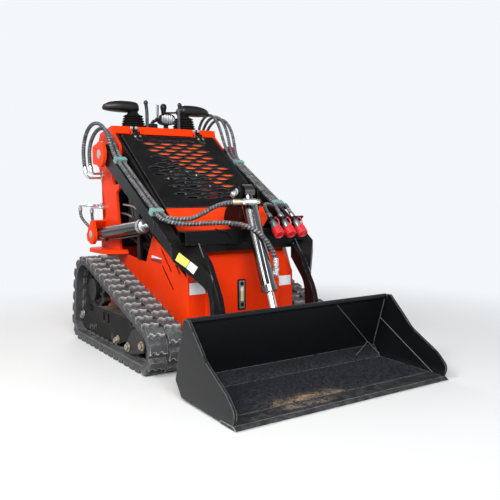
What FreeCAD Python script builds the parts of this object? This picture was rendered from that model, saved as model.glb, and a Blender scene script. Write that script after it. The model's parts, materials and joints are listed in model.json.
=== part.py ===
import FreeCAD, Part
import math
import os

# Compact track loader of the stand-on kind, with a bucket on lowered arms.
# Millimetres. X runs across the machine, Z is up and the machine faces -Y.
# The right-hand side of the machine is -X. Side pieces are drawn on the +X side
# and mirrored. Heights and depths are written as (y, z) pairs of the side view.

# Driving dimensions: tracks
BELT_WIDTH = 180.0
BELT_TO_TUB = 51.0
BELT_CARCASS = 25.0
LUG_HEIGHT = 22.0
LUG_TOP = 38.0
LUG_BASE = 52.0
LUG_PITCH_TARGET = 72.0
LUG_GROOVE = 12.0
SPROCKET_CENTRE = (357.0, 303.0)
SPROCKET_TIP_RADIUS = 190.0
FRONT_IDLER_Y = -436.0
FRONT_IDLER_TIP_RADIUS = 120.0
REAR_IDLER_Y = 487.0
REAR_IDLER_TIP_RADIUS = 105.0
RUNNING_FIT = 0.3
SPROCKET_TEETH = 13
SPROCKET_TOOTH_DEPTH = 20.0
SPROCKET_THICK = 40.0
ROLLER_RADIUS = 48.0
ROLLER_YS = (-230.0, 25.0, 275.0)
WHEEL_WIDTH = 84.0
AXLE_RADIUS = 17.0
FRAME_WIDTH = 106.0
FRAME_PLATE = 10.0
FRAME_TOP_Z = 224.0

# Driving dimensions: body
TUB_HALF_WIDTH = 306.0
SHEET = 6.0
TUB_FLOOR_Z = 140.0
FRONT_Y = -472.0
FRONT_TOP_Z = 537.0
FRONT_CORNER_Z = 432.0
FRONT_CORNER_CUT = 62.0
TUB_REAR_Y = 614.0
APEX = (-85.0, 620.0)
SILL = (8.0, 475.0)
SILL_REAR_Z = 531.0
FENDER_TOP_Z = 525.0
FENDER_HEIGHT = 25.0
COVER_FOOT_Z = 545.0
FENDER_FRONT_Y = 250.0
FENDER_REAR_Y = 614.0

# Driving dimensions: hood, cowl and tower
HOOD_TOP = (332.0, 1177.0)
HOOD_BOTTOM = (-232.0, 767.0)
HOOD_TO_TUB = 7.0
HOOD_THICK = 5.0
HOOD_FLANGE = 26.0
HOOD_GAP = 5.0
SLOT_ROWS = 17
SLOT_LENGTH = 84.0
SLOT_HEIGHT = 13.0
SLOT_STEP = 104.0
COWL_BEND = (-385.0, 651.0)
TOWER_TOP_FRONT = (378.0, 1232.0)
TOWER_TOP_REAR = (574.0, 1202.0)
TOWER_SHOULDER = (614.0, 1140.0)

# Driving dimensions: posts and arm pivot
POST_OFFSET = 17.0
POST_THICK = 15.0
PIVOT = (340.0, 1063.0)
PIVOT_PIN_RADIUS = 25.0
PIVOT_BOSS_RADIUS = 72.0
EAR_GAP = 73.0
EAR_THICK = 19.0
LIFT_BASE = (522.0, 606.0)
LIFT_EAR_RADIUS = 60.0
BRACKET_FOOT_Z = 560.0

# Driving dimensions: arms
BEAM_TO_POST = 7.0
BEAM_WIDTH = 60.0
BEAM_WEB = 8.0
LEG_INSET = 69.0
LEG_THICK = 26.0
ARM_BEND_Y = -500.0
BUCKET_PIN = (-712.0, 118.0)
BUCKET_PIN_RADIUS = 20.0
LEG_END_RADIUS = 45.0
LIFT_EYE = (-300.0, 690.0)
CROSS_TUBE_Y = (-540.0, -460.0)
CROSS_TUBE_Z = (594.0, 660.0)
SKIRT_DROP = 36.0

# Driving dimensions: cylinders
LIFT_BARREL_RADIUS = 35.0
LIFT_BARREL_LENGTH = 672.0
LIFT_ROD_RADIUS = 16.0
TILT_TOP = (-520.0, 840.0)
TILT_EYE = (-785.0, 200.0)
TILT_BARREL_RADIUS = 36.0
TILT_BARREL_LENGTH = 505.0
TILT_ROD_RADIUS = 18.0
EYE_PIN_RADIUS = 15.0

# Driving dimensions: bucket
BUCKET_HALF = 550.0
BUCKET_LIP_Y = -1303.0
BUCKET_TOP = (-912.0, 337.0)
BUCKET_BACK = (-830.0, 75.0)
BUCKET_HEEL = (-880.0, 14.0)
BUCKET_SHEET = 10.0
SIDE_SHEET = 12.0
EDGE_DEPTH = 110.0
EDGE_THICK = 16.0
FLOOR_FRONT_Z = 8.0

# Driving dimensions: rider platform
PLATFORM_HINGE = (652.0, 190.0)
PLATFORM_LENGTH = 300.0
PLATFORM_HALF = 235.0

# The machine's origin lies under the middle of its length, on the ground.
REAR_END_Y = PLATFORM_HINGE[0] + PLATFORM_LENGTH
ORIGIN_Y = (BUCKET_LIP_Y + REAR_END_Y) / 2.0

# Places across the machine, from the tub's side outward
BELT_INNER_X = TUB_HALF_WIDTH + BELT_TO_TUB
BELT_CENTRE_X = BELT_INNER_X + BELT_WIDTH / 2.0
FRAME_INNER_X = BELT_CENTRE_X - FRAME_WIDTH / 2.0
FRAME_OUTER_X = BELT_CENTRE_X + FRAME_WIDTH / 2.0
FRONT_TOP_HALF = TUB_HALF_WIDTH - FRONT_CORNER_CUT
HOOD_HALF = TUB_HALF_WIDTH - HOOD_TO_TUB
POST_INNER_X = TUB_HALF_WIDTH + POST_OFFSET
POST_OUTER_X = POST_INNER_X + POST_THICK
EAR_INNER_X = POST_OUTER_X + EAR_GAP
EAR_OUTER_X = EAR_INNER_X + EAR_THICK
BEAM_INNER_X = POST_OUTER_X + BEAM_TO_POST
BEAM_OUTER_X = BEAM_INNER_X + BEAM_WIDTH
LIFT_CYLINDER_X = (BEAM_INNER_X + BEAM_OUTER_X) / 2.0
LEG_OUTER_X = BEAM_INNER_X - LEG_INSET
LEG_INNER_X = LEG_OUTER_X - LEG_THICK

# Reach of the blocks that trim a shape, longer than the machine
TRIM = 3000.0


def vec(x, y, z):
    return FreeCAD.Vector(x, y, z)


def outline(points, place):
    """A closed wire of straight sides. A third value in a point rounds that corner."""
    count = len(points)
    edges = []
    joints = []
    for i in range(count):
        here = FreeCAD.Vector(points[i][0], points[i][1], 0)
        before = FreeCAD.Vector(points[i - 1][0], points[i - 1][1], 0)
        after = FreeCAD.Vector(points[(i + 1) % count][0], points[(i + 1) % count][1], 0)
        radius = points[i][2] if len(points[i]) > 2 else 0.0
        if radius <= 0:
            joints.append((here, None, here))
            continue
        to_before = (before - here).normalize()
        to_after = (after - here).normalize()
        half = to_before.getAngle(to_after) / 2.0
        reach = radius / math.tan(half)
        start = here + to_before * reach
        end = here + to_after * reach
        bisector = (to_before + to_after).normalize()
        middle = here + bisector * (radius / math.sin(half) - radius)
        joints.append((start, middle, end))
    for i in range(count):
        start, middle, end = joints[i]
        if middle is not None:
            edges.append(Part.Arc(place(start), place(middle), place(end)).toShape())
        following = joints[(i + 1) % count][0]
        if (following - end).Length > 1e-6:
            edges.append(Part.LineSegment(place(end), place(following)).toShape())
    return Part.Wire(edges)


def side_plate(points, x0, x1):
    """A plate cut to a (y, z) outline, between two X positions."""
    wire = outline(points, lambda p: vec(x0, p.x, p.y))
    return Part.Face(wire).extrude(vec(x1 - x0, 0, 0))


def plan_plate(points, z0, z1):
    """A plate cut to an (x, y) outline, between two heights."""
    wire = outline(points, lambda p: vec(p.x, p.y, z0))
    return Part.Face(wire).extrude(vec(0, 0, z1 - z0))


def front_plate(points, y0, y1):
    """A plate cut to an (x, z) outline, between two Y positions."""
    wire = outline(points, lambda p: vec(p.x, y0, p.y))
    return Part.Face(wire).extrude(vec(0, y1 - y0, 0))


def bent_sheet(path, thick, x0, x1):
    """A sheet bent along a (y, z) path, its thickness to the left of the path."""
    normals = []
    for (ya, za), (yb, zb) in zip(path, path[1:]):
        length = math.hypot(yb - ya, zb - za)
        normals.append((-(zb - za) / length, (yb - ya) / length))
    inner = []
    for i, (y, z) in enumerate(path):
        first = normals[max(i - 1, 0)]
        second = normals[min(i, len(normals) - 1)]
        sum_y = first[0] + second[0]
        sum_z = first[1] + second[1]
        scale = thick * 2.0 / (sum_y * sum_y + sum_z * sum_z)
        inner.append((y + sum_y * scale, z + sum_z * scale))
    return side_plate(list(path) + inner[::-1], x0, x1)


def block(x0, x1, y0, y1, z0, z1):
    return Part.makeBox(x1 - x0, y1 - y0, z1 - z0, vec(x0, y0, z0))


def rod_x(centre, radius, x0, x1):
    return Part.makeCylinder(radius, x1 - x0, vec(x0, centre[0], centre[1]), vec(1, 0, 0))


def rod_between(start, end, radius):
    return Part.makeCylinder(radius, (end - start).Length, start, end - start)


def mirrored(shape):
    return shape.mirror(vec(0, 0, 0), vec(1, 0, 0))


def toward(start, end, distance):
    """The (y, z) point at a distance from start on the line to end."""
    length = math.hypot(end[0] - start[0], end[1] - start[1])
    share = distance / length
    return (start[0] + (end[0] - start[0]) * share, start[1] + (end[1] - start[1]) * share)


def level(start, end, y):
    """The height at y on the line through two (y, z) points."""
    return start[1] + (end[1] - start[1]) * (y - start[0]) / (end[0] - start[0])


def pipe(points, radius):
    """A tube along straight runs joined by tangent arcs as large as the runs allow."""
    corners = [vec(*p) for p in points]
    path = []
    last = corners[0]
    for i in range(1, len(corners) - 1):
        here = corners[i]
        back = corners[i - 1] - here
        ahead = corners[i + 1] - here
        reach = 0.45 * min(back.Length, ahead.Length)
        back.normalize()
        ahead.normalize()
        half = back.getAngle(ahead) / 2.0
        start = here + back * reach
        end = here + ahead * reach
        bend = reach * math.tan(half)
        bisector = (back + ahead).normalize()
        middle = here + bisector * (bend / math.sin(half) - bend)
        path.append(Part.LineSegment(last, start).toShape())
        path.append(Part.Arc(start, middle, end).toShape())
        last = end
    path.append(Part.LineSegment(last, corners[-1]).toShape())
    spine = Part.Wire(path)
    first_way = corners[1] - corners[0]
    ring = Part.Wire(Part.makeCircle(radius, corners[0], first_way))
    return spine.makePipeShell([ring], True, False)


def export(name, shape):
    placed = shape.copy()
    placed.translate(vec(0, -ORIGIN_Y, 0))
    placed.exportStep("parts/" + name + ".step")


def export_pair(name, shape):
    """The piece as drawn is the left-hand one, at +X."""
    export(name + "_left", shape)
    export(name + "_right", mirrored(shape))


os.makedirs("parts", exist_ok=True)


# Track loop: three wheels and the belt round them

BELT_INSET = BELT_CARCASS + LUG_HEIGHT
WHEELS = (
    # centre (y, z), radius to the lug tips, in the order the belt runs over the top
    (FRONT_IDLER_Y, FRONT_IDLER_TIP_RADIUS, FRONT_IDLER_TIP_RADIUS),
    (SPROCKET_CENTRE[0], SPROCKET_CENTRE[1], SPROCKET_TIP_RADIUS),
    (REAR_IDLER_Y, REAR_IDLER_TIP_RADIUS, REAR_IDLER_TIP_RADIUS),
)


def loop_runs(inset):
    """Tangent lines and arcs of the belt loop at a depth under the lug tips."""
    tangents = []
    for i in range(3):
        ya, za, ra = WHEELS[i]
        yb, zb, rb = WHEELS[(i + 1) % 3]
        ra = ra - inset
        rb = rb - inset
        span = math.hypot(yb - ya, zb - za)
        along = math.atan2(zb - za, yb - ya)
        normal = along + math.acos((ra - rb) / span)
        start = (ya + ra * math.cos(normal), za + ra * math.sin(normal))
        end = (yb + rb * math.cos(normal), zb + rb * math.sin(normal))
        tangents.append((start, end, normal))
    return tangents


def loop_wire(inset, x):
    """The exact closed wire of the loop at a depth under the lug tips."""
    tangents = loop_runs(inset)
    edges = []
    for i in range(3):
        start, end, normal = tangents[i]
        next_start, _, next_normal = tangents[(i + 1) % 3]
        yb, zb, rb = WHEELS[(i + 1) % 3]
        turn = (normal - next_normal) % (2.0 * math.pi)
        middle_angle = normal - turn / 2.0
        radius = rb - inset
        middle = (yb + radius * math.cos(middle_angle), zb + radius * math.sin(middle_angle))
        edges.append(Part.LineSegment(vec(x, *start), vec(x, *end)).toShape())
        edges.append(Part.Arc(vec(x, *end), vec(x, *middle), vec(x, *next_start)).toShape())
    return Part.Wire(edges)


def loop_point(distance, height):
    """A point above the carcass at a distance along the loop, and the loop's length."""
    inset = LUG_HEIGHT
    tangents = loop_runs(inset)
    pieces = []
    for i in range(3):
        start, end, normal = tangents[i]
        next_normal = tangents[(i + 1) % 3][2]
        yb, zb, rb = WHEELS[(i + 1) % 3]
        turn = (normal - next_normal) % (2.0 * math.pi)
        run = math.hypot(end[0] - start[0], end[1] - start[1])
        pieces.append(("line", run, start, end, normal))
        pieces.append(("arc", turn * (rb - inset), (yb, zb), rb - inset, normal))
    total = sum(piece[1] for piece in pieces)
    left = distance % total
    for kind, length, a, b, normal in pieces:
        if left <= length:
            break
        left -= length
    if kind == "line":
        share = left / length
        y = a[0] + (b[0] - a[0]) * share
        z = a[1] + (b[1] - a[1]) * share
        angle = normal
    else:
        angle = normal - left / b
        y = a[0] + b * math.cos(angle)
        z = a[1] + b * math.sin(angle)
    return (y + height * math.cos(angle), z + height * math.sin(angle)), total


BELT_LENGTH = loop_point(0.0, 0.0)[1]
LUG_COUNT = round(BELT_LENGTH / LUG_PITCH_TARGET)
LUG_PITCH = BELT_LENGTH / LUG_COUNT


def lug_row(phase, x0, x1):
    """One row of lugs on its strip of carcass, cut from a toothed outline."""
    points = []
    for i in range(LUG_COUNT):
        centre = (i + phase) * LUG_PITCH
        for offset, height in (
            (-LUG_BASE / 2.0, 0.0),
            (-LUG_TOP / 2.0, LUG_HEIGHT),
            (LUG_TOP / 2.0, LUG_HEIGHT),
            (LUG_BASE / 2.0, 0.0),
        ):
            y, z = loop_point(centre + offset, height)[0]
            points.append(vec(x0, y, z))
    points.append(points[0])
    outer = Part.makePolygon(points)
    face = Part.Face([outer, loop_wire(BELT_INSET, x0)])
    return face.extrude(vec(x1 - x0, 0, 0))


def track_belt():
    inner_x = BELT_INNER_X
    outer_x = BELT_CENTRE_X + BELT_WIDTH / 2.0
    groove_a = BELT_CENTRE_X - LUG_GROOVE / 2.0
    groove_b = BELT_CENTRE_X + LUG_GROOVE / 2.0
    strip_face = Part.Face([loop_wire(LUG_HEIGHT + 2.0, groove_a), loop_wire(BELT_INSET, groove_a)])
    strip = strip_face.extrude(vec(groove_b - groove_a, 0, 0))
    inner_row = lug_row(0.0, inner_x, groove_a)
    outer_row = lug_row(0.5, groove_b, outer_x)
    return inner_row.fuse([strip, outer_row])


def sprocket():
    """Toothed drive wheel with its hub and a dished web."""
    radius = SPROCKET_TIP_RADIUS - BELT_INSET - RUNNING_FIT
    root = radius - SPROCKET_TOOTH_DEPTH
    points = []
    for i in range(SPROCKET_TEETH):
        for share, reach in ((0.10, root), (0.28, radius), (0.52, radius), (0.70, root)):
            angle = 2.0 * math.pi * (i + share) / SPROCKET_TEETH
            y = SPROCKET_CENTRE[0] + reach * math.cos(angle)
            z = SPROCKET_CENTRE[1] + reach * math.sin(angle)
            points.append((y, z))
    middle = BELT_CENTRE_X
    rim = side_plate(points, middle - SPROCKET_THICK / 2.0, middle + SPROCKET_THICK / 2.0)
    pocket = rod_x(SPROCKET_CENTRE, root - 24.0, middle, middle + SPROCKET_THICK)
    hub = rod_x(SPROCKET_CENTRE, 62.0, middle, middle + SPROCKET_THICK / 2.0 + 22.0)
    motor_seat = TUB_HALF_WIDTH
    motor = rod_x(SPROCKET_CENTRE, 58.0, motor_seat, middle)
    return rim.cut(pocket).fuse([hub, motor])


def wheel(centre, radius):
    """An idler or roller: two treads with a channel between them, on its axle."""
    middle = BELT_CENTRE_X
    half = WHEEL_WIDTH / 2.0
    body = rod_x(centre, radius, middle - half, middle + half)
    channel = rod_x(centre, radius, middle - 16.0, middle + 16.0)
    channel = channel.cut(rod_x(centre, radius * 0.62, middle - 16.0, middle + 16.0))
    axle = rod_x(centre, AXLE_RADIUS, FRAME_INNER_X, FRAME_OUTER_X)
    return body.cut(channel).fuse(axle)


FRONT_IDLER = (FRONT_IDLER_Y, FRONT_IDLER_TIP_RADIUS)
REAR_IDLER = (REAR_IDLER_Y, REAR_IDLER_TIP_RADIUS)
FRONT_IDLER_RADIUS = FRONT_IDLER_TIP_RADIUS - BELT_INSET - RUNNING_FIT
REAR_IDLER_RADIUS = REAR_IDLER_TIP_RADIUS - BELT_INSET - RUNNING_FIT
ROLLER_Z = BELT_INSET + RUNNING_FIT + ROLLER_RADIUS


IDLER_GUARD = (
    # y, z and corner radius of the plate over the front idler's fork
    (-207.0, 111.0, 10.0),
    (-266.0, 205.0, 16.0),
    (-366.0, 198.0, 24.0),
    (-444.0, 158.0, 14.0),
    (-443.0, 106.0, 14.0),
    (-304.0, 60.0, 30.0),
    (-192.0, 62.0, 12.0),
)
GUARD_THICK = 8.0


def track_frame():
    """Side plates with a top between, forks to the idlers, a guard and two cross tubes."""
    fork = 26.0
    plate = (
        # y, z and corner radius of the side plate's outline
        (FRONT_IDLER_Y - 30.0, FRONT_IDLER[1] + fork, 18.0),
        (FRONT_IDLER_Y - 30.0, FRONT_IDLER[1] - fork, 18.0),
        (-205.0, FRONT_IDLER[1] - fork, 10.0),
        (-158.0, 104.0, 10.0),
        (-60.0, 66.0, 16.0),
        (360.0, 66.0, 20.0),
        (REAR_IDLER_Y + 30.0, REAR_IDLER[1] - fork, 18.0),
        (REAR_IDLER_Y + 30.0, REAR_IDLER[1] + fork, 18.0),
        (300.0, 190.0, 30.0),
        (240.0, FRAME_TOP_Z, 25.0),
        (-240.0, FRAME_TOP_Z, 10.0),
        (-244.0, FRONT_IDLER[1] + fork, 10.0),
    )
    outer = side_plate(plate, FRAME_OUTER_X - FRAME_PLATE, FRAME_OUTER_X)
    for y in (70.0, 140.0):
        slot = (
            (y - 14.0, 150.0, 12.0),
            (y + 14.0, 150.0, 12.0),
            (y + 14.0, 208.0, 12.0),
            (y - 14.0, 208.0, 12.0),
        )
        outer = outer.cut(side_plate(slot, FRAME_OUTER_X - FRAME_PLATE, FRAME_OUTER_X))
    inner = side_plate(plate, FRAME_INNER_X, FRAME_INNER_X + FRAME_PLATE)
    top = block(FRAME_INNER_X, FRAME_OUTER_X, -210.0, 215.0, FRAME_TOP_Z - FRAME_PLATE, FRAME_TOP_Z)
    guard = side_plate(IDLER_GUARD, FRAME_OUTER_X, FRAME_OUTER_X + GUARD_THICK)
    shape = outer.fuse([inner, top, guard])
    for y in (-180.0, 190.0):
        tube = block(TUB_HALF_WIDTH, FRAME_INNER_X, y - 35.0, y + 35.0, 150.0, FRAME_TOP_Z)
        bore = block(TUB_HALF_WIDTH, FRAME_INNER_X, y - 27.0, y + 27.0, 158.0, FRAME_TOP_Z - 8.0)
        shape = shape.fuse(tube.cut(bore))
    for centre in [FRONT_IDLER, REAR_IDLER] + [(y, ROLLER_Z) for y in ROLLER_YS]:
        shape = shape.cut(rod_x(centre, AXLE_RADIUS, FRAME_INNER_X, FRAME_OUTER_X))
    return shape




belt = track_belt()
export_pair("track_belt", belt)
export_pair("sprocket", sprocket())
export_pair("track_frame", track_frame())
wheels = [wheel(FRONT_IDLER, FRONT_IDLER_RADIUS), wheel(REAR_IDLER, REAR_IDLER_RADIUS)]
wheels += [wheel((y, ROLLER_Z), ROLLER_RADIUS) for y in ROLLER_YS]
export_pair("track_wheels", Part.makeCompound(wheels))


# Body tub, its front panel and the cowl that rises from it

FLOOR_CHAMFER = 62.0
SIDE_PROFILE = (
    # y and z of the side wall's outline, from the front foot up and back
    (FRONT_Y + FLOOR_CHAMFER, TUB_FLOOR_Z),
    (FRONT_Y, TUB_FLOOR_Z + FLOOR_CHAMFER),
    (FRONT_Y, FRONT_CORNER_Z),
    APEX,
    SILL,
    (TUB_REAR_Y, SILL_REAR_Z),
    (TUB_REAR_Y, TUB_FLOOR_Z),
)


WALL_INNER_X = TUB_HALF_WIDTH - SHEET


VENT_WIDTH = 14.0


def tub_side():
    """Side wall with its slanted vents."""
    wall_inner = WALL_INNER_X
    wall = side_plate(SIDE_PROFILE, wall_inner, TUB_HALF_WIDTH)
    slots = (
        # upper (y, z), lower (y, z) and width of the slanted vents in the side wall
        ((-186.0, 557.0), (-298.0, 450.0), VENT_WIDTH),
        ((-350.0, 488.0), (-397.0, 446.0), VENT_WIDTH),
        ((-196.0, 469.0), (-316.0, 362.0), VENT_WIDTH),
    )
    for upper, lower, width in slots:
        length = math.hypot(upper[0] - lower[0], upper[1] - lower[1])
        side_y = (upper[1] - lower[1]) / length * width / 2.0
        side_z = -(upper[0] - lower[0]) / length * width / 2.0
        cut = (
            (upper[0] + side_y, upper[1] + side_z),
            (upper[0] - side_y, upper[1] - side_z),
            (lower[0] - side_y, lower[1] - side_z),
            (lower[0] + side_y, lower[1] + side_z),
        )
        wall = wall.cut(side_plate(cut, wall_inner, TUB_HALF_WIDTH))
    return wall


def tub_floor():
    """Belly plate with the folded foot that meets the front panel."""
    path = (
        (TUB_REAR_Y - SHEET, TUB_FLOOR_Z),
        (FRONT_Y + FLOOR_CHAMFER, TUB_FLOOR_Z),
        (FRONT_Y, TUB_FLOOR_Z + FLOOR_CHAMFER),
    )
    return bent_sheet(path, -SHEET, -WALL_INNER_X, WALL_INNER_X)


def rear_wall():
    return block(-WALL_INNER_X, WALL_INNER_X, TUB_REAR_Y - SHEET, TUB_REAR_Y, TUB_FLOOR_Z, COVER_FOOT_Z)


RIB_X = 204.0
RIB_DEPTH = 12.0


def front_panel():
    """Front plate with cut top corners, a folded foot and two stiffening ribs."""
    half = TUB_HALF_WIDTH
    plate = front_plate(
        (
            (-half, TUB_FLOOR_Z + FLOOR_CHAMFER),
            (half, TUB_FLOOR_Z + FLOOR_CHAMFER),
            (half, FRONT_CORNER_Z),
            (FRONT_TOP_HALF, FRONT_TOP_Z),
            (-FRONT_TOP_HALF, FRONT_TOP_Z),
            (-half, FRONT_CORNER_Z),
        ),
        FRONT_Y - SHEET,
        FRONT_Y,
    )
    ribs = []
    rib_foot = TUB_FLOOR_Z + FLOOR_CHAMFER + 20.0
    rib_back = FRONT_Y - SHEET
    for x in (-RIB_X, RIB_X):
        ribs.append(block(x - 8.0, x + 8.0, rib_back - RIB_DEPTH, rib_back, rib_foot, FRONT_CORNER_Z - 32.0))
    return plate.fuse(ribs)


def cowl_corner():
    """Three-sided plate that closes the corner between panel, side wall and cowl."""
    foot = vec(TUB_HALF_WIDTH, FRONT_Y + RUNNING_FIT, FRONT_CORNER_Z)
    inner = vec(FRONT_TOP_HALF, FRONT_Y + RUNNING_FIT, FRONT_TOP_Z)
    top = vec(HOOD_HALF, COWL_BEND[0], COWL_BEND[1])
    face = Part.Face(Part.makePolygon([foot, inner, top, foot]))
    inward = (inner - foot).cross(top - foot).normalize() * SHEET
    if inward.y < 0:
        inward = inward * -1.0
    return face.extrude(inward)


def cowl():
    """Sloped sheet between the front panel's top and the hood's lower edge."""
    top = toward(HOOD_BOTTOM, HOOD_TOP, -HOOD_GAP - 3.0)
    path = ((FRONT_Y - SHEET, FRONT_TOP_Z), COWL_BEND, top)
    sheet = bent_sheet(path, -SHEET, -HOOD_HALF, HOOD_HALF)
    corner = front_plate(
        (
            (-HOOD_HALF, FRONT_CORNER_Z),
            (-FRONT_TOP_HALF, FRONT_TOP_Z),
            (-HOOD_HALF, COWL_BEND[1]),
            (-HOOD_HALF - 20.0, COWL_BEND[1]),
            (-HOOD_HALF - 20.0, FRONT_CORNER_Z),
        ),
        FRONT_Y - 2.0 * SHEET,
        COWL_BEND[0],
    )
    below = block(-HOOD_HALF, HOOD_HALF, FRONT_Y - 60.0, FRONT_Y + 60.0, FRONT_TOP_Z - 60.0, FRONT_TOP_Z)
    facet = cowl_corner()
    sheet = sheet.cut([corner, mirrored(corner), below]).fuse([facet, mirrored(facet)])
    return sheet.cut([tub_side(), mirrored(tub_side())])


side = tub_side()
export("tub_sides", Part.makeCompound([side, mirrored(side)]))
export("tub_floor", tub_floor())
export("rear_wall", rear_wall())
export("front_panel", front_panel())
export("cowl", cowl())


# Fender, post and ear on each side

def fender():
    """Hollow box over the sprocket that carries the post and the cylinder bracket."""
    outer = (
        (TUB_HALF_WIDTH, FENDER_FRONT_Y),
        (EAR_OUTER_X, FENDER_FRONT_Y + 90.0, 30.0),
        (EAR_OUTER_X, FENDER_REAR_Y - 56.0, 30.0),
        (EAR_OUTER_X - 34.0, FENDER_REAR_Y, 30.0),
        (TUB_HALF_WIDTH, FENDER_REAR_Y),
    )
    wall = SHEET
    inner = (
        (TUB_HALF_WIDTH + wall, FENDER_FRONT_Y + 2.0 * wall),
        (EAR_OUTER_X - wall, FENDER_FRONT_Y + 90.0 + wall, 30.0 - wall),
        (EAR_OUTER_X - wall, FENDER_REAR_Y - 58.0, 30.0 - wall),
        (EAR_OUTER_X - 36.0, FENDER_REAR_Y - wall, 30.0 - wall),
        (TUB_HALF_WIDTH + wall, FENDER_REAR_Y - wall),
    )
    foot = FENDER_TOP_Z - FENDER_HEIGHT
    shell = plan_plate(outer, foot, FENDER_TOP_Z)
    return shell.cut(plan_plate(inner, foot, FENDER_TOP_Z - wall))


def post():
    """Tall side plate with the arm's ear and the lift cylinder's bracket."""
    boss = PIVOT_BOSS_RADIUS
    outer_x = POST_OUTER_X
    inner_x = POST_INNER_X
    outline_yz = (
        # y, z and corner radius, from the foot up the front edge and down the rear
        (300.0, FENDER_TOP_Z),
        (308.0, 656.0, 40.0),
        (332.0, 800.0, 40.0),
        (333.0, 850.0),
        (290.0, 872.0, 12.0),
        (290.0, 898.0, 8.0),
        (372.0, 892.0, 20.0),
        (400.0, 977.0, 20.0),
        (PIVOT[0] - boss, PIVOT[1] - 40.0, 30.0),
        (PIVOT[0] - boss, PIVOT[1] + 50.0, 40.0),
        (366.0, 1190.0, 10.0),
        (TOWER_TOP_FRONT[0], TOWER_TOP_FRONT[1] - 1.0),
        TOWER_TOP_REAR,
        TOWER_SHOULDER,
        (614.0, 1010.0, 60.0),
        (577.0, 923.0, 60.0),
        (540.0, 831.0, 60.0),
        (512.0, 720.0, 40.0),
        (LIFT_BASE[0] + 82.0, LIFT_BASE[1] + 10.0, 20.0),
        (LIFT_BASE[0] + 82.0, FENDER_TOP_Z),
    )
    plate = side_plate(outline_yz, inner_x, outer_x)
    ear = rod_x(PIVOT, boss, EAR_INNER_X, EAR_OUTER_X)
    ear_neck = side_plate(
        (
            (PIVOT[0] + 20.0, PIVOT[1] + 64.0),
            (PIVOT[0] + 20.0, PIVOT[1] - 60.0),
            (PIVOT[0] + 110.0, PIVOT[1] - 50.0, 20.0),
            (PIVOT[0] + 110.0, PIVOT[1] + 50.0, 20.0),
        ),
        EAR_INNER_X,
        EAR_OUTER_X,
    )
    web = block(outer_x, EAR_INNER_X, PIVOT[0] + 94.0, PIVOT[0] + 110.0, PIVOT[1] - 30.0, PIVOT[1] + 30.0)
    pin = rod_x(PIVOT, PIVOT_PIN_RADIUS, inner_x, EAR_OUTER_X)
    arm_side = plate.fuse([ear.fuse(ear_neck), web, pin])
    bracket_ear = rod_x(LIFT_BASE, LIFT_EAR_RADIUS, EAR_INNER_X, EAR_OUTER_X)
    bracket_neck = side_plate(
        (
            (LIFT_BASE[0] - 30.0, LIFT_BASE[1] + 84.0, 14.0),
            (LIFT_BASE[0] - 6.0, LIFT_BASE[1] + 84.0, 6.0),
            (LIFT_BASE[0] + 82.0, LIFT_BASE[1] - 6.0, 6.0),
            (LIFT_BASE[0] + 66.0, BRACKET_FOOT_Z, 14.0),
            (LIFT_BASE[0] + 20.0, BRACKET_FOOT_Z),
            (LIFT_BASE[0] - 60.0, LIFT_BASE[1], 0.0),
        ),
        EAR_INNER_X,
        EAR_OUTER_X,
    )
    bracket_back = bent_sheet(
        (
            (LIFT_BASE[0] - 6.0, LIFT_BASE[1] + 84.0),
            (LIFT_BASE[0] + 82.0, LIFT_BASE[1] - 6.0),
            (LIFT_BASE[0] + 66.0, BRACKET_FOOT_Z),
        ),
        -10.0,
        outer_x,
        EAR_INNER_X,
    )
    lift_pin = rod_x(LIFT_BASE, EYE_PIN_RADIUS, inner_x, EAR_OUTER_X)
    inner_boss = rod_x(LIFT_BASE, LIFT_EAR_RADIUS, inner_x, outer_x)
    return arm_side.fuse([bracket_ear.fuse(bracket_neck), bracket_back, lift_pin, inner_boss])


box = fender()
export("fenders", Part.makeCompound([box, mirrored(box)]))
export_pair("post", post())


# Tower cover, hood rails, engine and valve block

HOOD_LENGTH = math.hypot(HOOD_TOP[0] - HOOD_BOTTOM[0], HOOD_TOP[1] - HOOD_BOTTOM[1])
HOOD_SLOPE = math.atan2(HOOD_TOP[1] - HOOD_BOTTOM[1], HOOD_TOP[0] - HOOD_BOTTOM[0])
HOOD_HINGE_XS = (-204.0, 204.0)
HOOD_PIN_RADIUS = 8.0
HOOD_PIN_REACH = 22.0
HOOD_PIN_RISE = 3.5
HOOD_PIN = (
    HOOD_TOP[0] + HOOD_PIN_REACH * math.cos(HOOD_SLOPE) - HOOD_PIN_RISE * math.sin(HOOD_SLOPE),
    HOOD_TOP[1] + HOOD_PIN_REACH * math.sin(HOOD_SLOPE) + HOOD_PIN_RISE * math.cos(HOOD_SLOPE),
)

COVER_HALF = POST_INNER_X - RUNNING_FIT


def console_top():
    """Bent sheet: the strip above the hood, the console top and its rear shoulder."""
    path = (
        (TOWER_TOP_FRONT[0] - 14.0, TOWER_TOP_FRONT[1] - 44.0),
        TOWER_TOP_FRONT,
        TOWER_TOP_REAR,
        TOWER_SHOULDER,
    )
    cover = bent_sheet(path, -SHEET, -COVER_HALF, COVER_HALF)
    lugs = []
    for x in HOOD_HINGE_XS:
        for side in (-1.0, 1.0):
            middle = x + side * 27.0
            lug = side_plate(
                (
                    (TOWER_TOP_FRONT[0] - 13.0, TOWER_TOP_FRONT[1] - 41.0),
                    (TOWER_TOP_FRONT[0] - 4.0, TOWER_TOP_FRONT[1] - 12.0),
                    (HOOD_PIN[0] - 10.0, HOOD_PIN[1] + 13.0, 8.0),
                    (HOOD_PIN[0] - 14.0, HOOD_PIN[1] - 12.0, 10.0),
                    (HOOD_PIN[0] + 8.0, HOOD_PIN[1] - 12.0, 6.0),
                ),
                middle - 3.5,
                middle + 3.5,
            )
            lugs.append(lug.cut(rod_x(HOOD_PIN, HOOD_PIN_RADIUS + RUNNING_FIT, middle - 4.0, middle + 4.0)))
    return cover.fuse(lugs)


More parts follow.
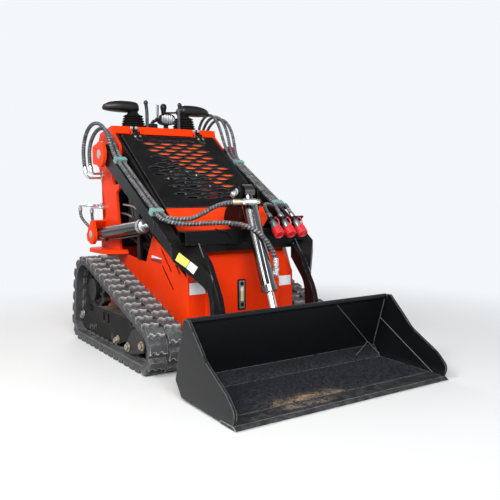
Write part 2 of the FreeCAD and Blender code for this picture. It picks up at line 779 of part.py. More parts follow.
def rear_cover():
    """Upright sheet that closes the tower behind, from the shoulder down to the tub."""
    run = math.hypot(TOWER_SHOULDER[0] - TOWER_TOP_REAR[0], TOWER_SHOULDER[1] - TOWER_TOP_REAR[1])
    overhang = SHEET * (TOWER_SHOULDER[0] - TOWER_TOP_REAR[0]) / run
    top = TOWER_SHOULDER[1] - overhang - RUNNING_FIT
    return block(-COVER_HALF, COVER_HALF, TUB_REAR_Y - SHEET, TUB_REAR_Y, COVER_FOOT_Z, top)


def hood_rails():
    """Two folded rails under the hood's sides that tie the tower to the cowl."""
    drop = 34.0
    head = toward(HOOD_TOP, HOOD_BOTTOM, -30.0)
    foot = toward(HOOD_BOTTOM, HOOD_TOP, -6.0)
    outer = COVER_HALF
    rail = side_plate(
        (
            (head[0], head[1] - 12.0),
            (head[0], head[1] - drop - 12.0),
            (foot[0], foot[1] - drop - 12.0),
            (foot[0], foot[1] - 12.0),
        ),
        outer - 16.0,
        outer,
    )
    strut_foot = level(SILL, (TUB_REAR_Y, SILL_REAR_Z), 100.0) + RUNNING_FIT
    strut = block(outer - 24.7, outer - 6.0, 60.0, 100.0, strut_foot, 925.0)
    rail = rail.fuse(strut)
    cross_top = foot[1] - drop - 12.0
    cross = block(-outer, outer, foot[0] - 6.0, foot[0] + 30.0, cross_top - 20.0, cross_top)
    return rail.fuse([mirrored(rail), cross])


VALVE_WIDTH = 90.0
ENGINE_TO_WALL = 110.0
ENGINE_TOP_Z = 560.0
HEAD_TOP_Z = 760.0
COOLER_TOP_Z = 905.0


def engine():
    """Plain block for the engine and its pump, with the head, air filter and oil cooler."""
    half = WALL_INNER_X - ENGINE_TO_WALL
    base = block(-half, half, -160.0, 330.0, TUB_FLOOR_Z + SHEET, ENGINE_TOP_Z)
    head_half = half - 60.0
    head = block(-head_half, head_half, -60.0, 300.0, ENGINE_TOP_Z, HEAD_TOP_Z)
    filter_drum = rod_x((250.0, HEAD_TOP_Z + 100.0), 70.0, -head_half, head_half)
    stand = block(-60.0, 60.0, 190.0, 300.0, HEAD_TOP_Z, HEAD_TOP_Z + 100.0)
    cooler = block(-WALL_INNER_X + 40.0, 150.0, 322.0, 352.0, ENGINE_TOP_Z, COOLER_TOP_Z)
    return base.fuse([head, stand, filter_drum, cooler])


def valve_block():
    """Stack of hydraulic valve sections with their spool caps."""
    outer = WALL_INNER_X - 5.0
    middle = outer - VALVE_WIDTH / 2.0
    body = block(outer - VALVE_WIDTH, outer, -120.0, 60.0, 475.0, 560.0)
    foot_outer = WALL_INNER_X - RUNNING_FIT
    foot = block(outer - VALVE_WIDTH + 10.0, foot_outer, -100.0, 40.0, TUB_FLOOR_Z + SHEET, 475.0)
    caps = []
    for y in (-95.0, -50.0, -5.0, 35.0):
        caps.append(Part.makeCylinder(12.0, 30.0, vec(middle, y, 560.0), vec(0, 0, 1)))
    return body.fuse([foot] + caps)


export("console_top", console_top())
export("rear_cover", rear_cover())
export("hood_rails", hood_rails())
export("engine", engine())
export("valve_block", valve_block())


# Hood: a perforated plate with side flanges, hinged at its top edge

def hood_place(shape):
    """Lays a flat hood, drawn from its lower edge at the origin, on its slope."""
    placed = shape.copy()
    placed.rotate(vec(0, 0, 0), vec(1, 0, 0), math.degrees(HOOD_SLOPE))
    placed.translate(vec(0, HOOD_BOTTOM[0], HOOD_BOTTOM[1]))
    return placed


def hood_slots():
    """Lens-shaped slots in staggered rows, within a field that narrows at both ends."""
    cuts = []
    first = HOOD_LENGTH * 0.12
    last = HOOD_LENGTH * 0.93
    for row in range(SLOT_ROWS):
        share = row / (SLOT_ROWS - 1.0)
        along = first + (last - first) * share
        reach = HOOD_HALF - 71.0 - 72.0 * abs(share - 0.45) / 0.55
        stagger = SLOT_STEP / 2.0 if row % 2 else 0.0
        count = int((reach - stagger) // SLOT_STEP)
        places = [stagger + i * SLOT_STEP for i in range(-count - (1 if row % 2 else 0), count + 1)]
        for x in places:
            half = SLOT_LENGTH / 2.0
            lens = (
                (x - half, along),
                (x - half * 0.35, along - SLOT_HEIGHT / 2.0),
                (x + half * 0.35, along - SLOT_HEIGHT / 2.0),
                (x + half, along),
                (x + half * 0.35, along + SLOT_HEIGHT / 2.0),
                (x - half * 0.35, along + SLOT_HEIGHT / 2.0),
            )
            cuts.append(plan_plate(lens, -HOOD_THICK, 0.0))
    return cuts


def hood():
    plate = block(-HOOD_HALF, HOOD_HALF, 0.0, HOOD_LENGTH, -HOOD_THICK, 0.0)
    flange = block(HOOD_HALF - HOOD_THICK, HOOD_HALF, 0.0, HOOD_LENGTH - 20.0, -HOOD_FLANGE, -HOOD_THICK)
    plate = plate.cut(hood_slots())
    lip = block(-HOOD_HALF, HOOD_HALF, 0.0, HOOD_THICK, -HOOD_FLANGE, -HOOD_THICK)
    shape = plate.fuse([flange, mirrored(flange), lip])
    straps = []
    for x in HOOD_HINGE_XS:
        strap_end = HOOD_LENGTH + HOOD_PIN_REACH
        straps.append(block(x - 14.0, x + 14.0, HOOD_LENGTH - 60.0, strap_end, 0.0, 2.0 * HOOD_PIN_RISE))
        straps.append(rod_x((strap_end, HOOD_PIN_RISE), HOOD_PIN_RADIUS, x - 31.0, x + 31.0))
    return hood_place(shape.fuse(straps))


export("hood", hood())


# Controls on the console, the lamp and the rider's pad

def console_z(y):
    return level(TOWER_TOP_FRONT, TOWER_TOP_REAR, y)


BOOT_CENTRE = (175.0, 468.0)


def control_boots():
    """Two ribbed rubber boots, each a stack of rings that narrows upward."""
    base_z = console_z(BOOT_CENTRE[1] - 75.0)
    ribs = 6
    height = 90.0
    points = [vec(0, 0, -14.0), vec(72.0, 0, -14.0)]
    for i in range(ribs):
        low = height * i / ribs
        wide = 72.0 - 34.0 * i / ribs
        points.append(vec(wide, 0, low + 4.0))
        points.append(vec(wide - 10.0, 0, low + height / ribs * 0.65))
    points.append(vec(34.0, 0, height))
    points.append(vec(0, 0, height))
    points.append(points[0])
    face = Part.Face(Part.makePolygon(points))
    boot = face.revolve(vec(0, 0, 0), vec(0, 0, 1), 360.0)
    boot.translate(vec(BOOT_CENTRE[0], BOOT_CENTRE[1], base_z))
    return boot


def above_console(shape):
    """Trims a piece so that it sits on the sloping console top."""
    drop = Part.Face(
        outline(
            (
                (TOWER_TOP_FRONT[0] - 60.0, console_z(TOWER_TOP_FRONT[0] - 60.0)),
                (TOWER_TOP_REAR[0] + 60.0, console_z(TOWER_TOP_REAR[0] + 60.0)),
                (TOWER_TOP_REAR[0] + 60.0, console_z(TOWER_TOP_REAR[0]) - 300.0),
                (TOWER_TOP_FRONT[0] - 60.0, console_z(TOWER_TOP_REAR[0]) - 300.0),
            ),
            lambda p: vec(-POST_OUTER_X, p.x, p.y),
        )
    ).extrude(vec(2.0 * POST_OUTER_X, 0, 0))
    return shape.cut(drop)


boot = above_console(control_boots())
export("control_boots", Part.makeCompound([boot, mirrored(boot)]))


REST_Z = console_z(440.0) + 114.0
REST_THICK = 50.0
REST_ROUND = 20.0
REST_SPAN = (150.0, 345.0)


def hand_rest():
    """A long rounded palm pad on a short stalk from its boot."""
    x0, x1 = REST_SPAN
    pad = plan_plate(
        (
            (x0, 438.0, 26.0),
            (x1, 446.0, 38.0),
            (x1, 524.0, 38.0),
            (x0, 530.0, 40.0),
        ),
        REST_Z,
        REST_Z + REST_THICK,
    )
    middle = REST_Z + REST_THICK / 2.0
    rims = [e for e in pad.Edges if abs(abs(e.CenterOfMass.z - middle) - REST_THICK / 2.0) < 0.5]
    pad = pad.makeFillet(REST_ROUND, rims)
    boot_top = console_z(BOOT_CENTRE[1] - 75.0) + 90.0
    stalk = Part.makeCylinder(16.0, REST_Z + 4.0 - boot_top, vec(BOOT_CENTRE[0], BOOT_CENTRE[1], boot_top))
    return pad.fuse(stalk)


rest = hand_rest()
export("hand_rests", Part.makeCompound([rest, mirrored(rest)]))


def grab_bar():
    """Upright bar with a ball on top and a foot on the console."""
    x = 109.0
    y = 406.0
    foot_z = console_z(y) - 10.0
    top_z = foot_z + 158.0
    bar = pipe(((x - 4.0, y, foot_z), (x - 4.0, y, top_z - 42.0), (x + 2.0, y, top_z)), 10.0)
    ball = Part.makeSphere(14.0, vec(x + 2.0, y, top_z + 4.0))
    return above_console(bar.fuse(ball))


bar = grab_bar()
export("grab_bars", Part.makeCompound([bar, mirrored(bar)]))


def work_lamp():
    """Lamp housing with a bezel on a short yoke."""
    x = 24.0
    foot_z = console_z(405.0)
    low = foot_z + 42.0
    top = low + 62.0
    housing = front_plate(
        (
            (x - 44.0, low, 12.0),
            (x + 44.0, low, 12.0),
            (x + 44.0, top, 12.0),
            (x - 44.0, top, 12.0),
        ),
        392.0,
        440.0,
    )
    yoke = block(x - 12.0, x + 12.0, 405.0, 428.0, foot_z - 8.0, low)
    return above_console(housing.fuse(yoke))


def lever_block():
    """Throttle and auxiliary levers with their knobs on a shared quadrant."""
    deck = console_z(440.0)
    base = block(-75.0, -20.0, 440.0, 520.0, deck - 12.0, deck + 40.0)
    pieces = []
    for x, y, z in ((-60.0, 470.0, deck + 154.0), (-34.0, 500.0, deck + 162.0)):
        pieces.append(rod_between(vec(x, y, deck + 33.0), vec(x, y - 12.0, z), 6.0))
        pieces.append(Part.makeSphere(15.0, vec(x, y - 12.0, z)))
    return above_console(base.fuse(pieces))


def thigh_pad():
    """Cushion on the rear wall that the standing rider leans on."""
    y = TOWER_SHOULDER[0] + RUNNING_FIT
    foot_z = TOWER_SHOULDER[1] - 240.0
    pad = block(-220.0, 220.0, y, y + 60.0, foot_z, foot_z + 220.0)
    return pad.makeFillet(22.0, [e for e in pad.Edges if e.CenterOfMass.y > y + 55.0])


export("work_lamp", work_lamp())
export("lever_block", lever_block())
export("thigh_pad", thigh_pad())


# Rider platform, hinged behind the tub

def platform():
    """Tread plate with a raised rim, on two hinge knuckles."""
    y0 = PLATFORM_HINGE[0]
    z = PLATFORM_HINGE[1]
    deck = plan_plate(
        (
            (-PLATFORM_HALF, y0 + 52.0),
            (PLATFORM_HALF, y0 + 52.0),
            (PLATFORM_HALF, y0 + PLATFORM_LENGTH, 40.0),
            (-PLATFORM_HALF, y0 + PLATFORM_LENGTH, 40.0),
        ),
        z - 20.0,
        z + 20.0,
    )
    pocket = plan_plate(
        (
            (-PLATFORM_HALF + 8.0, y0 + 60.0),
            (PLATFORM_HALF - 8.0, y0 + 60.0),
            (PLATFORM_HALF - 8.0, y0 + PLATFORM_LENGTH - 8.0, 32.0),
            (-PLATFORM_HALF + 8.0, y0 + PLATFORM_LENGTH - 8.0, 32.0),
        ),
        z - 20.0,
        z + 12.0,
    )
    shape = deck.cut(pocket)
    for x in (-170.0, 170.0):
        arm = side_plate(
            (
                (y0 - 16.0, z - 16.0, 14.0),
                (y0 + 64.0, z - 16.0),
                (y0 + 64.0, z + 11.0),
                (y0 + 54.0, z + 16.0),
                (y0 - 16.0, z + 16.0, 14.0),
            ),
            x - 15.0,
            x + 15.0,
        )
        arm = arm.cut(rod_x((y0, z), 10.0 + RUNNING_FIT, x - 15.0, x + 15.0))
        shape = shape.fuse(arm)
    return shape


def platform_bracket():
    """Lugs on the tub's rear wall with the pins that the platform swings on."""
    pieces = []
    for x in (-170.0, 170.0):
        pin = rod_x(PLATFORM_HINGE, 10.0, x - 32.0, x + 32.0)
        parts = []
        for side in (-1.0, 1.0):
            middle = x + side * 26.0
            parts.append(
                side_plate(
                    (
                        (TUB_REAR_Y, PLATFORM_HINGE[1] - 40.0),
                        (PLATFORM_HINGE[0] + 16.0, PLATFORM_HINGE[1] - 16.0, 14.0),
                        (PLATFORM_HINGE[0] + 16.0, PLATFORM_HINGE[1] + 16.0, 14.0),
                        (TUB_REAR_Y, PLATFORM_HINGE[1] + 60.0),
                    ),
                    middle - 6.0,
                    middle + 6.0,
                )
            )
        pieces.append(pin.fuse(parts))
    return Part.makeCompound(pieces)


export("platform", platform())
export("platform_brackets", platform_bracket())


# Loader arms: channel beams, bent elbow plates and narrow legs

BEAM_UPPER = ((201.0, 1031.0), (-397.0, 671.0))
BEAM_LOWER = ((315.0, 1001.0), (-393.0, 604.0))
ARM_OUTLINE = (
    # y, z and corner radius of the whole arm's side view, round from the pivot
    (PIVOT[0], level(*BEAM_UPPER, PIVOT[0]) - 2.0, 0.0),
    (-470.0, level(*BEAM_UPPER, -470.0), 160.0),
    (-619.0, 520.0, 120.0),
    (-724.0, 350.0, 260.0),
    (BUCKET_PIN[0] - LEG_END_RADIUS, BUCKET_PIN[1] + 10.0, 0.0),
    (BUCKET_PIN[0] - LEG_END_RADIUS, BUCKET_PIN[1], 0.0),
    (BUCKET_PIN[0] + LEG_END_RADIUS, BUCKET_PIN[1], 0.0),
    (BUCKET_PIN[0] + LEG_END_RADIUS + 8.0, BUCKET_PIN[1] + 60.0, 60.0),
    (-650.0, 392.0, 110.0),
    (-515.0, level(*BEAM_LOWER, -515.0), 90.0),
    (-393.0, 604.0, 0.0),
    (PIVOT[0], level(*BEAM_LOWER, PIVOT[0]) + 2.0, 0.0),
)
PLATE_BEND = 16.0


def arm_beam():
    """Channel beam, open below, with the pivot boss and the lift cylinder's cheeks."""
    outer = side_plate(ARM_OUTLINE, BEAM_INNER_X, BEAM_OUTER_X)
    front = block(0.0, TRIM, -TRIM, ARM_BEND_Y, -TRIM, TRIM)
    outer = outer.cut(front)
    roof = BEAM_WEB * 1.2
    channel_rear = PIVOT[0] - 70.0
    channel = side_plate(
        (
            (channel_rear, level(*BEAM_UPPER, channel_rear) - roof),
            (-440.0, level(*BEAM_UPPER, -440.0) - roof),
            (ARM_BEND_Y - 10.0, level(*BEAM_UPPER, ARM_BEND_Y - 10.0) - roof - 8.0),
            (ARM_BEND_Y - 10.0, LIFT_EYE[1] - 290.0),
            (channel_rear, LIFT_EYE[1] - 290.0),
        ),
        BEAM_INNER_X + BEAM_WEB,
        BEAM_OUTER_X - BEAM_WEB,
    )
    outer = outer.cut(channel)
    boss = rod_x(PIVOT, 60.0, BEAM_INNER_X, BEAM_OUTER_X)
    bore = rod_x(PIVOT, PIVOT_PIN_RADIUS + RUNNING_FIT, BEAM_INNER_X, BEAM_OUTER_X)
    cheek = rod_x(LIFT_EYE, 30.0, BEAM_OUTER_X, BEAM_OUTER_X + 3.0)
    return outer.fuse([boss, cheek]).cut(bore)


def elbow():
    """Plate that leads the beam's outer web inward to the leg, with its top flange."""
    plan = (
        (BEAM_OUTER_X, ARM_BEND_Y),
        (LEG_OUTER_X, ARM_BEND_Y - 140.0),
        (LEG_OUTER_X, ARM_BEND_Y - 140.0 - PLATE_BEND * 1.6),
        (BEAM_OUTER_X, ARM_BEND_Y - PLATE_BEND * 1.6),
    )
    slab = plan_plate(plan, -TRIM, TRIM)
    plate = slab.common(side_plate(ARM_OUTLINE, LEG_OUTER_X, BEAM_OUTER_X))
    wedge = plan_plate(
        (
            (BEAM_OUTER_X, ARM_BEND_Y),
            (LEG_OUTER_X, ARM_BEND_Y),
            (LEG_OUTER_X, ARM_BEND_Y - 140.0),
        ),
        -TRIM,
        TRIM,
    )
    skin = ARM_OUTLINE[:4]
    lowered = [(p[0], p[1] - 10.0, p[2]) for p in skin]
    lowered[0] = (skin[0][0], skin[0][1] - 10.0)
    under = side_plate(
        lowered + [(lowered[3][0], -TRIM), (PIVOT[0], -TRIM)],
        LEG_OUTER_X,
        BEAM_OUTER_X,
    )
    flange = side_plate(ARM_OUTLINE, LEG_OUTER_X, BEAM_OUTER_X).cut(under).common(wedge)
    tube_seat = block(0.0, BEAM_INNER_X, CROSS_TUBE_Y[0], CROSS_TUBE_Y[1], CROSS_TUBE_Z[0], CROSS_TUBE_Z[1])
    return plate.fuse(flange).cut(tube_seat)


def leg():
    """Narrow plate from the cross tube down to the bucket's pin."""
    shape = side_plate(ARM_OUTLINE, LEG_INNER_X, LEG_OUTER_X)
    shape = shape.cut(block(0.0, TRIM, CROSS_TUBE_Y[0], TRIM, -TRIM, TRIM))
    end = rod_x(BUCKET_PIN, LEG_END_RADIUS, LEG_INNER_X, LEG_OUTER_X)
    bore = rod_x(BUCKET_PIN, BUCKET_PIN_RADIUS + RUNNING_FIT, LEG_INNER_X, LEG_OUTER_X)
    return shape.fuse(end).cut(bore)


def cross_tube():
    """Rectangular tube between the two beams, with a plate that hangs under it."""
    y0, y1 = CROSS_TUBE_Y
    z0, z1 = CROSS_TUBE_Z
    wall = 8.0
    tube = block(-BEAM_INNER_X, BEAM_INNER_X, y0, y1, z0, z1)
    hollow = block(-BEAM_INNER_X, BEAM_INNER_X, y0 + wall, y1 - wall, z0 + wall, z1 - wall)
    skirt = block(-LEG_OUTER_X, LEG_OUTER_X, y0 + 14.0, y0 + 22.0, z0 - SKIRT_DROP, z0)
    return tube.cut(hollow).fuse(skirt)


TILT_CHEEK_X = (42.0, 54.0)


def tilt_bracket():
    """Two cheeks on the cross tube that hold the tilt cylinder's upper pin."""
    cheek = side_plate(
        (
            (CROSS_TUBE_Y[0], CROSS_TUBE_Z[1]),
            (TILT_TOP[0] - 34.0, TILT_TOP[1] + 10.0, 20.0),
            (TILT_TOP[0] + 10.0, TILT_TOP[1] + 40.0, 30.0),
            (TILT_TOP[0] + 36.0, TILT_TOP[1] - 24.0, 20.0),
            (TILT_TOP[0] + 115.0, TILT_TOP[1] - 88.0, 14.0),
            (TILT_TOP[0] + 132.0, TILT_TOP[1] - 136.0, 14.0),
            (CROSS_TUBE_Y[1] + 22.0, CROSS_TUBE_Z[1] + 8.0, 10.0),
            (CROSS_TUBE_Y[1], CROSS_TUBE_Z[1]),
        ),
        TILT_CHEEK_X[0],
        TILT_CHEEK_X[1],
    )
    pin = rod_x(TILT_TOP, EYE_PIN_RADIUS, -TILT_CHEEK_X[1], TILT_CHEEK_X[1])
    return cheek.fuse([mirrored(cheek), pin])


export_pair("arm_beam", arm_beam())
export_pair("elbow", elbow())
export_pair("leg", leg())
export("cross_tube", cross_tube())
export("tilt_bracket", tilt_bracket())


# Cylinders

FEED_RADIUS = 5.0
PORT_RADIUS = 12.0
ROUTE_BEAM_X = 345.0


def beside_beams(routes, reach=1.0):
    """Hose routes moved sideways with the beams, in full where x is over the reach."""
    step = BEAM_INNER_X - ROUTE_BEAM_X
    moved = []
    for route in routes:
        points = []
        for x, y, z in route:
            points.append((x + math.copysign(step * min(1.0, abs(x) / reach), x), y, z))
        moved.append(tuple(points))
    return tuple(moved)


TILT_HOSES = (
    (
        (-390.0, 166.0, 1024.0), (-390.0, -334.0, 724.3), (-366.0, -388.0, 704.0), (-318.0, -428.0, 692.0),
        (-255.0, -459.0, 689.0), (-190.0, -502.0, 694.0), (-130.0, -556.0, 695.0), (-74.0, -612.0, 685.0),
        (-28.0, -653.0, 656.0), (9.0, -676.0, 612.0), (36.0, -688.0, 562.0), (50.0, -692.0, 516.0),
        (52.0, -690.0, 482.0),
    ),
    (
        (-362.0, 166.0, 1024.0), (-362.0, -332.0, 725.5), (-338.0, -374.0, 716.0), (-294.0, -400.0, 711.0),
        (-246.0, -416.0, 714.0), (-206.0, -433.0, 731.0), (-170.0, -464.0, 760.0), (-136.0, -508.0, 782.0),
        (-103.0, -554.0, 791.0), (-62.0, -584.0, 791.0),
    ),
)
TILT_HOSES = beside_beams(TILT_HOSES, ROUTE_BEAM_X)


def cylinder_barrel(base, aim, length, radius, eye_half, x):
    """Barrel with its base eye and the gland ring at its open end."""
    way = toward(base, aim, 1.0)
    way = (way[0] - base[0], way[1] - base[1])

    def at(distance):
        return vec(x, base[0] + way[0] * distance, base[1] + way[1] * distance)

    eye = rod_x(base, radius * 0.95, x - eye_half, x + eye_half)
    neck = rod_between(at(radius * 0.5), at(radius * 1.5), eye_half * 0.95)
    tube = rod_between(at(radius * 1.4), at(length - 30.0), radius)
    gland = rod_between(at(length - 30.0), at(length), radius + 3.0)
    return eye.fuse([neck, tube, gland]), at


def lift_barrel():
    shape, at = cylinder_barrel(
        LIFT_BASE,
        LIFT_EYE,
        LIFT_BARREL_LENGTH,
        LIFT_BARREL_RADIUS,
        28.0,
        LIFT_CYLINDER_X,
    )
    x = LIFT_CYLINDER_X
    pin_bore = rod_x(LIFT_BASE, EYE_PIN_RADIUS + RUNNING_FIT, x - 80.0, x + 80.0)
    reach = math.hypot(LIFT_EYE[0] - LIFT_BASE[0], LIFT_EYE[1] - LIFT_BASE[1])
    rod_bore = rod_between(at(reach - 770.0), at(LIFT_BARREL_LENGTH + 5.0), LIFT_ROD_RADIUS + RUNNING_FIT)
    below = LIFT_BARREL_RADIUS + FEED_RADIUS + 3.0
    way = (at(100.0) - at(0.0)).normalize()
    down = vec(0, way.z, -way.y) if way.y > 0 else vec(0, -way.z, way.y)
    feed = rod_between(at(95.0) + down * below, at(LIFT_BARREL_LENGTH - 60.0) + down * below, FEED_RADIUS)
    blocks = []
    for place in (105.0, LIFT_BARREL_LENGTH - 70.0):
        foot = at(place) + down * (LIFT_BARREL_RADIUS - 4.0)
        blocks.append(rod_between(foot, foot + down * (2.0 * FEED_RADIUS + 9.0), 11.0))
    return shape.cut([pin_bore, rod_bore]).fuse([feed] + blocks)


def lift_rod():
    reach = math.hypot(LIFT_EYE[0] - LIFT_BASE[0], LIFT_EYE[1] - LIFT_BASE[1])
    inner = toward(LIFT_BASE, LIFT_EYE, reach - 766.0)
    outer = toward(LIFT_BASE, LIFT_EYE, reach - 10.0)
    x = LIFT_CYLINDER_X
    rod = rod_between(vec(x, *inner), vec(x, *outer), LIFT_ROD_RADIUS)
    eye = rod_x(LIFT_EYE, 24.0, x - 16.0, x + 16.0)
    return rod.fuse(eye)


def tilt_barrel():
    shape, at = cylinder_barrel(TILT_TOP, TILT_EYE, TILT_BARREL_LENGTH, TILT_BARREL_RADIUS, 28.0, 0.0)
    pin_bore = rod_x(TILT_TOP, EYE_PIN_RADIUS + RUNNING_FIT, -60.0, 60.0)
    rod_bore = rod_between(at(150.0), at(TILT_BARREL_LENGTH + 5.0), TILT_ROD_RADIUS + RUNNING_FIT)
    lower_tip, lower_back = (vec(*p) for p in (TILT_HOSES[0][-1], TILT_HOSES[0][-2]))
    lower_way = (lower_tip - lower_back).normalize()
    lower_elbow = lower_tip + lower_way * 30.0
    lower = rod_between(lower_tip, lower_elbow + lower_way * 8.0, PORT_RADIUS)
    boss_at = (lower_elbow.y, lower_elbow.z)
    lower_boss = rod_x(boss_at, PORT_RADIUS - 1.0, TILT_ROD_RADIUS + 6.0, lower_elbow.x + 8.0)
    upper_tip, upper_back = (vec(*p) for p in (TILT_HOSES[1][-1], TILT_HOSES[1][-2]))
    upper = rod_between(upper_tip, upper_tip + (upper_tip - upper_back).normalize() * 68.0, PORT_RADIUS)
    run = upper_tip + (upper_tip - upper_back).normalize() * 60.0
    upper_boss = rod_between(run, vec(0.0, run.y + 42.0, run.z - 8.0), PORT_RADIUS + 1.0)
    return shape.cut([pin_bore, rod_bore]).fuse([lower, lower_boss, upper, upper_boss])


def tilt_rod():
    reach = math.hypot(TILT_EYE[0] - TILT_TOP[0], TILT_EYE[1] - TILT_TOP[1])
    inner = toward(TILT_TOP, TILT_EYE, 205.0)
    outer = toward(TILT_TOP, TILT_EYE, reach - 10.0)
    rod = rod_between(vec(0, *inner), vec(0, *outer), TILT_ROD_RADIUS)
    eye = rod_x(TILT_EYE, 26.0, -20.0, 20.0)
    return rod.fuse(eye)


export_pair("lift_barrel", lift_barrel())
export_pair("lift_rod", lift_rod())
export("tilt_barrel", tilt_barrel())
export("tilt_rod", tilt_rod())


# Bucket and the attach plate behind it

def bucket_shell():
    """Folded back, heel and floor between two side plates with S-shaped fronts."""
    inside = BUCKET_HALF - SIDE_SHEET
    back_path = (
        BUCKET_TOP,
        BUCKET_BACK,
        BUCKET_HEEL,
        (BUCKET_LIP_Y + EDGE_DEPTH + RUNNING_FIT, FLOOR_FRONT_Z),
    )
    sheet = bent_sheet(back_path, -BUCKET_SHEET, -inside, inside)
    side = (
        # y, z and corner radius of the side plate
        (BUCKET_TOP[0], BUCKET_TOP[1]),
        (BUCKET_TOP[0] - 38.0, BUCKET_TOP[1] + 2.0, 12.0),
        (-1029.0, 262.0, 60.0),
        (-1090.0, 200.0, 90.0),
        (-1236.0, 118.0, 120.0),
        (-1296.0, 62.0, 40.0),
        (BUCKET_LIP_Y + 24.0, EDGE_THICK),
        (BUCKET_LIP_Y + EDGE_DEPTH, EDGE_THICK),
        (BUCKET_LIP_Y + EDGE_DEPTH, FLOOR_FRONT_Z),
        BUCKET_HEEL,
        BUCKET_BACK,
    )
    plate = side_plate(side, inside, BUCKET_HALF)
    rolled = rod_x((BUCKET_TOP[0] - 8.0, BUCKET_TOP[1] - 8.0), 12.0, -inside, inside)
    return sheet.fuse([plate, mirrored(plate), rolled])


def cutting_edge():
    """Bevelled wear plate under the front of the floor."""
    return side_plate(
        (
            (BUCKET_LIP_Y, 1.0),
            (BUCKET_LIP_Y + EDGE_DEPTH, 1.0),
            (BUCKET_LIP_Y + EDGE_DEPTH, EDGE_THICK),
            (BUCKET_LIP_Y + 24.0, EDGE_THICK),
        ),
        -BUCKET_HALF,
        BUCKET_HALF,
    )


export("bucket_shell", bucket_shell())
export("cutting_edge", cutting_edge())

ATTACH_RIM = 6.0
ATTACH_THICK = 12.0
LUG_GAP = 6.0
LUG_THICK = 12.0
ATTACH_HALF = LEG_OUTER_X + LUG_GAP + LUG_THICK + ATTACH_RIM
EYE_CHEEK_X = (26.0, 38.0)
BACK_LENGTH = math.hypot(BUCKET_BACK[0] - BUCKET_TOP[0], BUCKET_BACK[1] - BUCKET_TOP[1])
BACK_ALONG = toward((0.0, 0.0), (BUCKET_BACK[0] - BUCKET_TOP[0], BUCKET_BACK[1] - BUCKET_TOP[1]), 1.0)


def back_point(along, behind):
    """A (y, z) point at a distance down the bucket's back and a distance behind it."""
    y = BUCKET_TOP[0] + BACK_ALONG[0] * along - BACK_ALONG[1] * behind
    z = BUCKET_TOP[1] + BACK_ALONG[1] * along + BACK_ALONG[0] * behind
    return (y, z)


def attach_plate():
    """Quick-attach plate on the bucket's back, with lugs for the legs and the tilt rod."""
    face = RUNNING_FIT
    rear = face + ATTACH_THICK
    low = BACK_LENGTH - 6.0
    plate = side_plate(
        (back_point(18.0, face), back_point(18.0, rear), back_point(low, rear), back_point(low, face)),
        -ATTACH_HALF,
        ATTACH_HALF,
    )
    lug = (
        back_point(140.0, rear - 2.0),
        back_point(low - 4.0, rear - 2.0),
        (BUCKET_PIN[0] - 14.0, BUCKET_PIN[1] - 36.0, 20.0),
        (BUCKET_PIN[0] + 34.0, BUCKET_PIN[1] - 20.0, 26.0),
        (BUCKET_PIN[0] + 30.0, BUCKET_PIN[1] + 34.0, 26.0),
    )
    inner = side_plate(lug, LEG_INNER_X - LUG_GAP - LUG_THICK, LEG_INNER_X - LUG_GAP)
    outer = side_plate(lug, LEG_OUTER_X + LUG_GAP, LEG_OUTER_X + LUG_GAP + LUG_THICK)
    lug_reach = LUG_GAP + LUG_THICK
    pin = rod_x(BUCKET_PIN, BUCKET_PIN_RADIUS, LEG_INNER_X - lug_reach, LEG_OUTER_X + lug_reach)
    hinge = inner.fuse([outer, pin])
    cheek = side_plate(
        (
            back_point(110.0, rear - 2.0),
            back_point(235.0, rear - 2.0),
            (TILT_EYE[0] + 10.0, TILT_EYE[1] - 28.0, 14.0),
            (TILT_EYE[0] + 28.0, TILT_EYE[1] + 4.0, 20.0),
            (TILT_EYE[0] - 4.0, TILT_EYE[1] + 30.0, 20.0),
        ),
        EYE_CHEEK_X[0],
        EYE_CHEEK_X[1],
    )
    return plate.fuse([hinge, mirrored(hinge), cheek, mirrored(cheek)])


export("attach_plate", attach_plate())


# Coupler bank on the cross tube and the hose clamps on the beams

COUPLER_STEP = 71.0
COUPLER_XS = tuple(BEAM_INNER_X - 61.0 - COUPLER_STEP * i for i in (2, 1, 0))
COUPLER_TILT = 45.0
COUPLER_MIDDLE = (-546.0, 681.0)


def coupler_bracket():
    """Plate that leans forward from the cross tube's top, bored for the couplers."""
    tilt = math.radians(COUPLER_TILT)
    along = (-math.cos(tilt), -math.sin(tilt))
    across = (math.sin(tilt), -math.cos(tilt))

    def spot(behind, below):
        y = COUPLER_MIDDLE[0] - along[0] * behind + across[0] * below
        return (y, COUPLER_MIDDLE[1] - along[1] * behind + across[1] * below)

    low = CROSS_TUBE_Z[1]
    sheet = (spot(20.0, -32.0), spot(14.0, -32.0), spot(14.0, 80.0), spot(20.0, 80.0))
    left = COUPLER_XS[0] - 36.0
    right = COUPLER_XS[2] + 36.0
    plate = side_plate(sheet, left, right).cut(block(0.0, TRIM, -TRIM, TRIM, -TRIM, low))
    foot = block(left, right, CROSS_TUBE_Y[1] - 36.0, CROSS_TUBE_Y[1], low, low + 6.0)
    shape = plate.fuse(foot)
    return shape.cut([coupler_body(x, 17.0 + RUNNING_FIT, -60.0, 60.0) for x in COUPLER_XS])


def coupler_body(x, radius, start, end):
    """A cylinder on a coupler's tilted axis, from behind the bracket to the front."""
    tilt = math.radians(COUPLER_TILT)
    way = vec(0, -math.cos(tilt), -math.sin(tilt))
    middle = vec(x, COUPLER_MIDDLE[0], COUPLER_MIDDLE[1])
    return Part.makeCylinder(radius, end - start, middle + way * start, way)


def couplers():
    """Three flat-faced couplers with round dust caps."""
    pieces = []
    for x in COUPLER_XS:
        ferrule = coupler_body(x, 13.0, -64.0, -34.0)
        stem = coupler_body(x, 17.0, -34.0, 20.0)
        nut = coupler_body(x, 21.0, 14.0, 34.0)
        cap = coupler_body(x, 25.0, 34.0, 78.0)
        pieces.append(stem.fuse([ferrule, nut, cap]))
    return Part.makeCompound(pieces)


